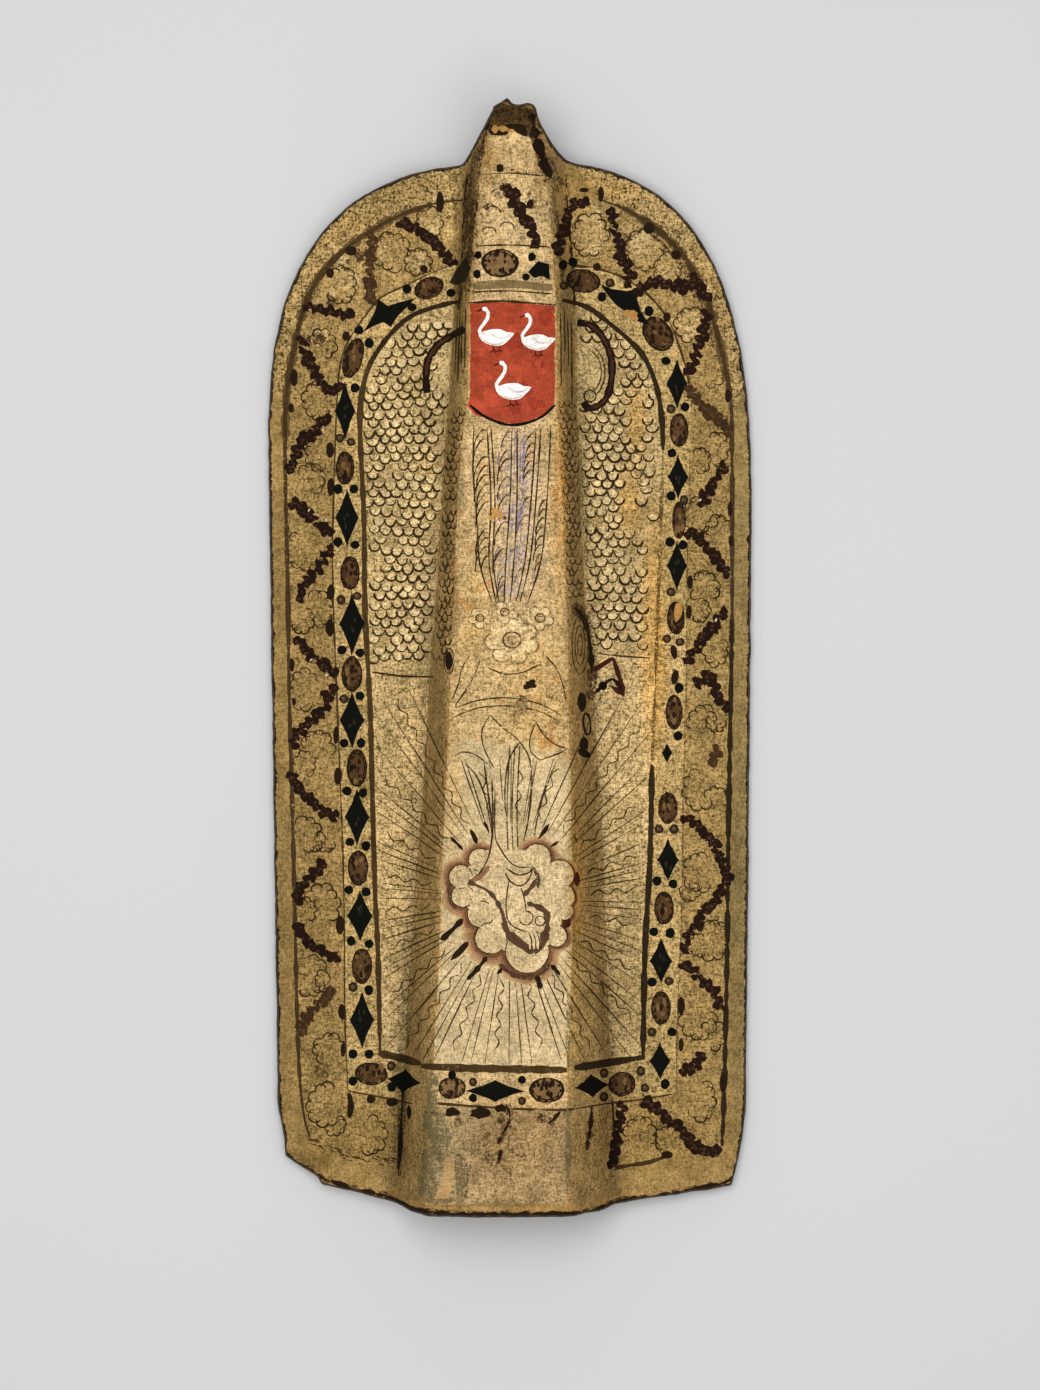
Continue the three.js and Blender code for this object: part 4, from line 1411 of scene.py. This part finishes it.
def boundary_loop(triangles, edge_place, edge, points):
    """The skin's outer vertices in order, and the share of each edge step they lie at."""
    once = {}
    for a, b, c in triangles.tolist():
        for start, end in ((a, b), (b, c), (c, a)):
            once[start, end] = True
    after = {start: end for start, end in once if (end, start) not in once}
    corner = {place: k for k, place in edge_place.items()}
    here = edge_place[0]
    loop, shares, k = [], [], 0
    for _ in range(len(after)):
        if here in corner:
            k = corner[here]
        a, b = edge[k], edge[(k + 1) % len(edge)]
        along = np.linalg.norm(points[here] - a) / max(np.linalg.norm(b - a), 1e-6)
        loop.append(here)
        shares.append((k, min(along, 1.0)))
        here = after[here]
    return loop, shares


def build_shield():
    """One closed skin: the painted front, the rounded edge in rings, the plain back."""
    edge = outline()
    outward = edge_normals(edge)
    front_edge = edge - outward * FRONT_ROUNDING
    shapes = placed_shapes()
    loose = clear_of(skin_points(0.0, FRONT_ROW_STEP), front_edge, FRONT_GAP)
    points, triangles, edge_place = triangulate(front_edge, loose, shapes)
    loop, shares = boundary_loop(triangles, edge_place, front_edge, points)
    blend = np.array([s for _, s in shares])[:, None]
    first = np.array([k for k, _ in shares])
    out = outward[first] * (1 - blend) + outward[(first + 1) % len(edge)] * blend
    rim = points[loop] + out * FRONT_ROUNDING
    heights = surface(points[:, 0], points[:, 1]) + np.array([wander(x, y) for x, y in points])
    heights = np.minimum(heights, HIGH[2] - INSIDE_BOX)
    verts = [(x, y, z) for (x, y), z in zip(points, heights)]
    faces = [tuple(int(i) for i in t) for t in triangles]
    grounds, pigments = owners(points, triangles, shapes)
    kinds = [CANVAS] * len(faces)

    last = loop
    z_front = heights[loop]
    back_edge = rim - out * BACK_ROUNDING
    z_back = np.maximum(surface(back_edge[:, 0], back_edge[:, 1], THICKNESS), 0.05)

    def ring_of(places, levels, kind):
        nonlocal last
        start = len(verts)
        verts.extend((x, y, z) for (x, y), z in zip(places, levels))
        ring = list(range(start, start + len(places)))
        for i in range(len(ring)):
            j = (i + 1) % len(ring)
            faces.append((last[i], ring[i], ring[j], last[j]))
            kinds.append(kind)
        last = ring

    for share in ROUNDED:
        turn = share * math.pi / 2
        places = points[loop] + out * FRONT_ROUNDING * math.sin(turn)
        ring_of(places, z_front - FRONT_ROUNDING * (1 - math.cos(turn)), EDGE)
    bottom = np.maximum(surface(rim[:, 0], rim[:, 1], THICKNESS), 0.0) + BACK_ROUNDING
    for share in FLAT:
        ring_of(rim, z_front - FRONT_ROUNDING + (bottom - z_front + FRONT_ROUNDING) * share, EDGE)
    ring_of(back_edge + out * BACK_ROUNDING * 0.3, z_back + BACK_ROUNDING * 0.3, EDGE)
    ring_of(back_edge, z_back, BACK)

    loose = clear_of(skin_points(THICKNESS, BACK_ROW_STEP), back_edge, BACK_GAP)
    back_points, back_triangles, edge_place = triangulate(back_edge, loose)
    back_heights = np.maximum(surface(back_points[:, 0], back_points[:, 1], THICKNESS), 0.0)
    place_of = {i: last[k] for k, i in edge_place.items()}
    for i, ((x, y), z) in enumerate(zip(back_points, back_heights)):
        if i not in place_of:
            place_of[i] = len(verts)
            verts.append((x, y, z))
    for t in back_triangles:
        faces.append(tuple(place_of[int(i)] for i in reversed(t)))
        kinds.append(BACK)

    mesh = bpy.data.meshes.new("painted_shield")
    mesh.from_pydata([tuple(c * MM for c in v) for v in verts], [], faces)
    for i, polygon in enumerate(mesh.polygons):
        polygon.material_index = kinds[i]
        polygon.use_smooth = True
    paint_mesh(mesh, grounds, pigments)
    tone_and_shade_mesh(mesh, points, front_edge)
    shield = bpy.data.objects.new("painted_shield", mesh)
    bpy.context.collection.objects.link(shield)
    return shield


# Soft patches: place and reach in photograph pixels, the colour (or one grey) they lean to, how much. Some
# are the paint's own tone; many are painted shade and painted highlights along the ridge's folds and creases,
# on its flanks and towards the edges
TONE_SHADE_AND_HIGHLIGHT_PATCHES = [
    (279, 620, 8, 330, (0.86, 0.86, 0.84), 0.9),
    (470, 235, 6, 70, (0.60, 0.57, 0.48), 1.0),
    (449, 235, 5, 60, (1.22, 1.22, 1.20), 1.0),
    (478, 225, 4, 46, (0.78, 0.76, 0.72), 1.0),
    (459, 330, 6, 60, (0.78, 0.77, 0.74), 0.9),
    (447, 300, 6, 110, (1.18, 1.20, 1.22), 0.9),
    (453, 520, 5, 110, 0.86, 1.0),
    (449, 640, 5, 60, 0.94, 1.0),
    (443, 760, 5, 80, (0.82, 0.82, 0.84), 1.0),
    (584, 720, 6, 70, 0.80, 1.0),
    (571, 900, 5, 90, (0.77, 0.76, 0.73), 1.0),
    (500, 170, 30, 24, (0.92, 0.90, 0.86), 0.9),
    (567, 215, 9, 46, (1.32, 1.28, 1.20), 1.0),
    (625, 480, 34, 170, (0.92, 0.93, 0.96), 1.0),
    (403, 1090, 8, 110, (0.66, 0.66, 0.64), 0.9),
    (606, 1090, 7, 110, (0.70, 0.68, 0.62), 0.8),
    (437, 700, 6, 50, 1.08, 1.0),
    (428, 900, 8, 90, 1.14, 1.0),
    (590, 1050, 14, 90, 1.13, 1.0),
    (320, 700, 40, 330, (0.97, 0.96, 0.95), 0.9),
    (680, 210, 60, 40, (0.94, 0.96, 1.0), 0.9),
    (282, 1000, 10, 160, 0.80, 1.0),
    (736, 960, 10, 190, 0.84, 1.0),
    (520, 1160, 70, 40, (0.90, 0.93, 0.98), 0.8),
    (625, 720, 26, 70, 0.92, 0.7),
    (636, 420, 10, 40, (1.08, 0.93, 0.72), 1.0),
    (629, 505, 12, 34, (1.10, 0.94, 0.70), 1.0),
    (653, 640, 12, 120, (1.12, 0.95, 0.68), 1.0),
    (520, 505, 24, 95, (1.02, 1.04, 1.22), 1.0),
    (560, 500, 8, 110, (1.02, 0.88, 0.68), 0.9),
    (470, 620, 20, 60, (1.02, 0.96, 0.84), 0.8),
    (540, 700, 34, 60, (1.02, 0.94, 0.78), 0.7),
    (505, 700, 34, 36, (1.09, 1.09, 1.08), 0.9),
    (595, 890, 4, 60, (0.82, 0.81, 0.78), 1.0),
    (601, 1015, 4, 46, (0.80, 0.79, 0.76), 1.0),
    (609, 930, 5, 90, (1.10, 1.10, 1.08), 0.9),
    (578, 890, 5, 60, (1.13, 1.12, 1.08), 1.0),
    (573, 1010, 8, 46, (1.26, 1.23, 1.16), 1.0),
    (402, 890, 6, 60, 1.18, 1.0),
    (423, 890, 6, 60, (1.12, 1.12, 1.10), 1.0),
    (408, 1015, 4, 40, (0.82, 0.82, 0.80), 1.0),
    (427, 1015, 5, 46, (1.14, 1.13, 1.10), 1.0),
    (415, 730, 8, 50, (1.20, 1.19, 1.16), 1.0),
    (446, 592, 6, 44, (1.24, 1.24, 1.26), 0.9),
    (520, 963, 16, 7, (0.90, 0.89, 0.86), 0.8),
    (455, 600, 4, 46, 0.76, 1.0),
    (442, 600, 3, 40, 1.18, 1.0),
    (578, 700, 5, 60, (1.16, 1.16, 1.20), 0.9),
    (418, 490, 18, 46, (1.10, 1.10, 1.08), 0.9),
    (434, 490, 7, 46, (1.16, 1.16, 1.14), 0.9),
    (461, 490, 4, 46, 0.84, 1.0),
    (555, 490, 4, 46, 0.84, 1.0),
    (580, 490, 3, 46, 0.78, 1.0),
    (594, 490, 6, 46, (1.16, 1.15, 1.12), 1.0),
    (442, 360, 6, 30, (1.14, 1.15, 1.18), 1.0),
    (486, 156, 5, 20, (0.76, 0.72, 0.66), 1.0),
    (450, 215, 4, 32, (1.24, 1.24, 1.22), 1.0),
    (672, 238, 30, 12, (0.86, 0.86, 0.88), 0.8),
    (590, 370, 11, 24, (1.22, 1.25, 1.32), 1.0),
    (444, 366, 8, 26, (1.16, 1.18, 1.22), 1.0),
    (410, 350, 13, 40, (0.80, 0.80, 0.78), 1.0),
    (415, 880, 5, 80, 1.12, 0.9),
    (440, 228, 12, 17, (1.32, 1.35, 1.44), 0.9),
    (516, 212, 26, 34, (1.12, 1.14, 1.18), 0.9),
    (588, 230, 15, 22, (1.24, 1.27, 1.34), 0.9),
    (632, 246, 14, 16, (1.06, 1.07, 1.09), 0.9),
    (576, 880, 7, 90, (1.10, 0.94, 0.66), 0.9),
    (436, 1150, 22, 50, (0.90, 0.93, 0.92), 0.9),
    (520, 1150, 50, 50, (0.96, 0.86, 0.70), 0.8),
    (452, 790, 10, 60, (1.02, 0.90, 0.70), 0.8),
    (304, 1160, 30, 9, (0.66, 0.62, 0.56), 0.9),
    (320, 1070, 12, 14, (0.70, 0.70, 0.68), 0.9),
    (512, 112, 30, 12, (0.42, 0.40, 0.36), 1.0),
    (490, 150, 8, 30, (0.78, 0.72, 0.62), 0.8),
    (540, 160, 7, 30, (0.60, 0.54, 0.46), 0.9),
    (610, 190, 50, 8, (1.05, 0.98, 0.86), 0.8),
    (350, 230, 60, 12, (1.04, 0.98, 0.88), 0.6),
    (312, 560, 24, 200, (0.84, 0.84, 0.82), 0.8),
    (310, 980, 26, 160, (0.82, 0.82, 0.80), 0.8),
    (740, 600, 10, 300, (0.82, 0.88, 0.96), 0.9),
    (738, 950, 10, 160, (0.80, 0.86, 0.92), 0.9),
    (705, 560, 20, 260, (0.92, 0.93, 0.92), 0.8),
    (628, 960, 18, 110, (0.70, 0.70, 0.66), 0.9),
    (395, 870, 16, 170, (0.92, 0.91, 0.88), 0.8),
    (640, 1140, 60, 40, (0.86, 0.82, 0.74), 0.8),
    (360, 1140, 70, 30, (0.82, 0.80, 0.74), 0.8),
]
# Painted shade: how much darker the steep flanks of the ridge are painted
FLANK_SHADE = (0.86, 0.86, 0.84)
GRIME_AND_SHADE_WIDTH = 6.5  # of the grime and painted shade along the creases
GRIME_AND_SHADE_DEPTH, FOOT_GRIME_AND_SHADE_DEPTH = 0.18, 0.22
WORN_RIM = 5.0  # how far in from the edge the bare rim can reach


def tone_and_shade_mesh(mesh, points, edge):
    """Slow changes of tone over the front: painted shade on the ridge's steep flanks, grime and painted shade
    along its creases, and patches of tone, painted shade and painted highlights; in alpha how near the
    board's edge is.
    """
    front_count = len(points)
    values = np.ones((len(mesh.vertices), 4))
    _, away, _, lean, fold, crease = ridge_at(points[:, 0], points[:, 1])
    fold_end = fold + FOLD_RADIUS * np.sin(lean)
    crease_start = crease - CREASE_RADIUS * np.sin(lean)
    steep = np.clip((away - fold) / (fold_end - fold), 0, 1)
    steep = steep * np.clip((crease - away) / (crease - crease_start), 0, 1)
    tint = np.ones((front_count, 3))
    # painted shade: the steeper the flank, the darker
    tint *= 1 - steep[:, None] * (1 - np.array(FLANK_SHADE))
    # grime and painted shade along the creases, deeper towards the foot
    grime_and_shade = np.exp(-(((away - crease + 3) / GRIME_AND_SHADE_WIDTH) ** 2))
    tint *= 1 - (grime_and_shade * (GRIME_AND_SHADE_DEPTH + FOOT_GRIME_AND_SHADE_DEPTH * np.clip(-points[:, 1] / 500 + 0.2, 0, 1)))[:, None]
    # patches of the paint's own tone, and of painted shade and painted highlights
    for x, y, wide, high, colour, share in TONE_SHADE_AND_HIGHLIGHT_PATCHES:
        middle = photo([(x, y)])[0]
        reach = (wide * PIXEL, high * PIXEL)
        far = np.hypot((points[:, 0] - middle[0]) / reach[0], (points[:, 1] - middle[1]) / reach[1])
        weight = (np.clip(1.6 - far, 0, 1) ** 1.5 * share)[:, None]
        tint *= 1 - weight * (1 - np.array(colour))
    near = np.array([np.sqrt(np.min(np.sum((edge - p) ** 2, 1))) for p in points])
    values[:front_count, :3] = tint
    values[:front_count, 3] = np.clip(1 - near / WORN_RIM, 0, 1)
    layer = mesh.color_attributes.new("tint", "FLOAT_COLOR", "POINT")
    layer.data.foreach_set("color", values.ravel())


def paint_mesh(mesh, grounds, pigments):
    """Store each face's ground and pigment as colours; the pigment's alpha is how well it lasted."""
    paints = {**GROUNDS, **PIGMENTS}
    colours = {i: (*linear(paints[name][0]), paints[name][1]) for i, name in enumerate(PAINT_NAMES)}
    ground_layer = mesh.color_attributes.new("ground", "FLOAT_COLOR", "CORNER")
    pigment_layer = mesh.color_attributes.new("pigment", "FLOAT_COLOR", "CORNER")
    total = len(mesh.loops)
    ground_values, pigment_values = np.zeros((total, 4)), np.zeros((total, 4))
    rim = colours[PAINT_NAMES.index("rim_ground")]
    for i, polygon in enumerate(mesh.polygons):
        loops = slice(polygon.loop_start, polygon.loop_start + polygon.loop_total)
        ground_values[loops] = colours[grounds[i]] if i < len(grounds) else rim
        if i < len(pigments) and pigments[i] >= 0:
            pigment_values[loops] = colours[pigments[i]]
        else:
            pigment_values[loops] = (*ground_values[polygon.loop_start][:3], 0)
    ground_layer.data.foreach_set("color", ground_values.ravel())
    pigment_layer.data.foreach_set("color", pigment_values.ravel())


# Materials

class Nodes:
    """Short names for building one material's nodes."""

    def __init__(self, name):
        self.material = bpy.data.materials.new(name)
        self.material.use_nodes = True
        self.tree = self.material.node_tree
        self.shader = self.tree.nodes["Principled BSDF"]
        self.place = self.tree.nodes.new("ShaderNodeTexCoord").outputs["Object"]

    def link(self, source, target):
        if isinstance(source, (int, float)):
            target.default_value = source
        elif isinstance(source, tuple):
            target.default_value = (*source, 1) if len(target.default_value) > len(source) else source
        else:
            self.tree.links.new(source, target)

    def add(self, kind, inputs=(), **settings):
        node = self.tree.nodes.new("ShaderNode" + kind)
        for name, value in settings.items():
            setattr(node, name, value)
        for key, value in dict(inputs).items():
            self.link(value, node.inputs[key])
        return node

    def noise(self, scale, detail, rough, place=None):
        inputs = {"Vector": place or self.place, "Scale": scale, "Detail": detail, "Roughness": rough}
        return self.add("TexNoise", inputs).outputs["Fac"]

    def stretched(self, across_scale, down_scale, deep_scale=200):
        scale = (across_scale, down_scale, deep_scale)
        return self.add("Mapping", {"Vector": self.place, "Scale": scale}).outputs["Vector"]

    def math(self, operation, a, b):
        return self.add("Math", {0: a, 1: b}, operation=operation).outputs[0]

    def times(self, a, b):
        return self.math("MULTIPLY", a, b)

    def plus(self, a, b):
        return self.math("ADD", a, b)

    def minus(self, a, b):
        return self.math("SUBTRACT", a, b)

    def grey(self, value, blue=None):
        """A grey of this value, its blue apart if given."""
        blue = value if blue is None else blue
        return self.add("CombineColor", {0: value, 1: value, 2: blue}).outputs[0]

    def ramp(self, value, low, high, to_low=0.0, to_high=1.0):
        inputs = {"Value": value, "From Min": low, "From Max": high, "To Min": to_low, "To Max": to_high}
        return self.add("MapRange", inputs, interpolation_type="SMOOTHSTEP").outputs[0]

    def mix(self, share, a, b, blend="MIX"):
        node = self.add("Mix", data_type="RGBA", blend_type=blend)
        self.link(share, node.inputs["Factor"])
        self.link(a, node.inputs["A"])
        self.link(b, node.inputs["B"])
        return node.outputs["Result"]

    def attribute(self, name):
        return self.add("Attribute", attribute_name=name)

    def bump(self, height, distance, strength):
        inputs = {"Height": height, "Distance": distance, "Strength": strength}
        return self.add("Bump", inputs).outputs["Normal"]


def painted_canvas():
    """Ground and pigment off the mesh, broken up by grain, canvas threads and wear, times a tone that holds
    painted shade and painted highlights, bare near the edge.
    """
    n = Nodes("painted_canvas")
    ground_paint = n.attribute("ground")
    ground = ground_paint.outputs["Color"]
    pigment = n.attribute("pigment")
    tint = n.attribute("tint")
    blotch = n.noise(9, 3, 0.55)
    mottle = n.noise(48, 4, 0.62)
    grain = n.noise(430, 3, 0.7)
    warp = n.noise(1.0, 3, 0.7, n.stretched(820, 130))
    weft = n.noise(1.0, 3, 0.7, n.stretched(130, 820))
    threads = n.times(n.plus(warp, weft), 0.5)

    tone = n.ramp(blotch, 0.25, 0.75, 0.88, 1.10)
    tone = n.times(tone, n.ramp(mottle, 0.28, 0.72, 0.76, 1.20))
    fleck = n.plus(n.times(grain, 0.38), n.times(threads, 0.42))
    fleck = n.plus(fleck, n.times(n.noise(240, 3, 0.7), 0.20))
    coarse = n.minus(n.ramp(fleck, 0.40, 0.59, 0.06, 1.50), 0.90)
    coarse = n.plus(n.times(coarse, ground_paint.outputs["Alpha"]), 0.93)
    tone = n.times(tone, coarse)
    tone = n.grey(tone, n.math("POWER", tone, 1.15))
    colour = n.mix(1.0, ground, tone, "MULTIPLY")

    slow, quick = n.times(n.noise(38, 2, 0.5), 0.25), n.times(n.noise(330, 3, 0.75), 0.75)
    cover = n.ramp(n.minus(pigment.outputs["Alpha"], n.plus(slow, quick)), 0.01, 0.15)
    shade = n.times(n.ramp(fleck, 0.34, 0.66, 0.66, 1.32), n.ramp(mottle, 0.28, 0.72, 0.84, 1.14))
    paint = n.mix(1.0, pigment.outputs["Color"], n.grey(shade), "MULTIPLY")
    colour = n.mix(cover, colour, paint)
    # times the tone: the paint's own tone, painted shade on the flanks and creases, painted highlights along
    # the folds
    colour = n.mix(1.0, colour, tint.outputs["Color"], "MULTIPLY")
    frayed = n.times(n.noise(110, 4, 0.7), 1.5)
    bare = n.ramp(n.minus(tint.outputs["Alpha"], frayed), 0.0, 0.14)
    colour = n.mix(bare, colour, linear((30, 24, 14)))
    n.link(colour, n.shader.inputs["Base Color"])
    n.shader.inputs["Roughness"].default_value = 0.75
    n.shader.inputs["Specular IOR Level"].default_value = 0.04
    height = n.plus(n.times(grain, 0.5), threads)
    n.link(n.bump(height, 0.0008, 0.5), n.shader.inputs["Normal"])
    return n.material


def worn_edge():
    """The dark, rubbed edge."""
    n = Nodes("worn_edge")
    share = n.noise(120, 4, 0.65)
    colour = n.mix(n.ramp(share, 0.35, 0.65), linear((18, 14, 8)), linear((74, 54, 30)))
    n.link(colour, n.shader.inputs["Base Color"])
    n.shader.inputs["Roughness"].default_value = 0.8
    n.link(n.bump(share, 0.001, 0.6), n.shader.inputs["Normal"])
    return n.material


def hide_back():
    """Brown hide glued over the back: fibres, a coarse weave, stains and rubbed places."""
    n = Nodes("hide_back")
    share = n.noise(14, 4, 0.6)
    fibres = n.noise(1.0, 4, 0.65, n.stretched(420, 16))
    weave = n.noise(1.0, 3, 0.7, n.stretched(900, 900))
    colour = n.mix(n.ramp(share, 0.3, 0.7), linear((92, 70, 44)), linear((132, 104, 68)))
    shade = n.times(n.ramp(fibres, 0.3, 0.7, 0.78, 1.16), n.ramp(weave, 0.3, 0.7, 0.86, 1.10))
    colour = n.mix(1.0, colour, n.grey(shade), "MULTIPLY")
    stain = n.ramp(n.noise(5.5, 5, 0.68), 0.56, 0.68)
    colour = n.mix(n.times(stain, 0.55), colour, linear((48, 36, 24)))
    rubbed = n.ramp(n.plus(n.noise(7.5, 4, 0.6), n.times(fibres, 0.3)), 0.74, 0.84)
    colour = n.mix(n.times(rubbed, 0.6), colour, linear((168, 138, 96)))
    n.link(colour, n.shader.inputs["Base Color"])
    n.link(n.ramp(share, 0.3, 0.7, 0.70, 0.84), n.shader.inputs["Roughness"])
    relief = n.plus(n.times(fibres, 0.7), n.times(weave, 0.3))
    n.link(n.bump(relief, 0.0007, 0.6), n.shader.inputs["Normal"])
    return n.material


shield = build_shield()
for material in (painted_canvas(), worn_edge(), hide_back()):
    shield.data.materials.append(material)
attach(shield, "root")
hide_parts("shield_body")


# Floor, light and camera

FLOOR_REACH = 4.0  # metres
FLOOR_TONE = 0.585
SKY_TONE, SKY_STRENGTH = 0.8, 0.60


def floor():
    """A pale matt floor, no part of the shield."""
    mesh = bpy.data.meshes.new("floor")
    corners = [(FLOOR_REACH * a, FLOOR_REACH * b, 0) for a, b in ((-1, -1), (1, -1), (1, 1), (-1, 1))]
    mesh.from_pydata(corners, [], [(0, 1, 2, 3)])
    plane = bpy.data.objects.new("floor", mesh)
    bpy.context.collection.objects.link(plane)
    n = Nodes("pale_floor")
    n.shader.inputs["Base Color"].default_value = (FLOOR_TONE, FLOOR_TONE, FLOOR_TONE, 1)
    n.shader.inputs["Roughness"].default_value = 0.9
    mesh.materials.append(n.material)


def area_light(name, place, size, power):
    """A soft lamp over the shield, turned to its middle."""
    data = bpy.data.lights.new(name, "AREA")
    data.shape = "RECTANGLE"
    data.size, data.size_y = size
    data.energy = power
    lamp = bpy.data.objects.new(name, data)
    lamp.location = place
    lamp.rotation_euler = (-Vector(place)).to_track_quat("-Z", "Y").to_euler()
    bpy.context.collection.objects.link(lamp)


def studio():
    """An even pale sky and two soft lamps."""
    bpy.context.scene.view_settings.view_transform = "Standard"
    world = bpy.data.worlds.new("studio")
    bpy.context.scene.world = world
    world.use_nodes = True
    sky = world.node_tree.nodes["Background"]
    sky.inputs["Color"].default_value = (SKY_TONE, SKY_TONE, SKY_TONE, 1)
    sky.inputs["Strength"].default_value = SKY_STRENGTH
    area_light("key_light", (-0.5, 0.5, 3.6), (2.6, 2.0), 80)
    area_light("fill_light", (1.0, -0.9, 3.8), (2.4, 2.4), 40)


def camera():
    """A camera over the shield, framed as the photograph is."""
    data = bpy.data.cameras.new("camera")
    data.sensor_width = 36.0
    distance = EYE[2] - BOARD_LEVEL
    data.lens = data.sensor_width * distance / (PHOTO_SIZE[1] * PIXEL)
    view = bpy.data.objects.new("camera", data)
    view.location = tuple(c * MM for c in EYE)
    bpy.context.collection.objects.link(view)
    bpy.context.scene.camera = view


floor()
studio()
camera()
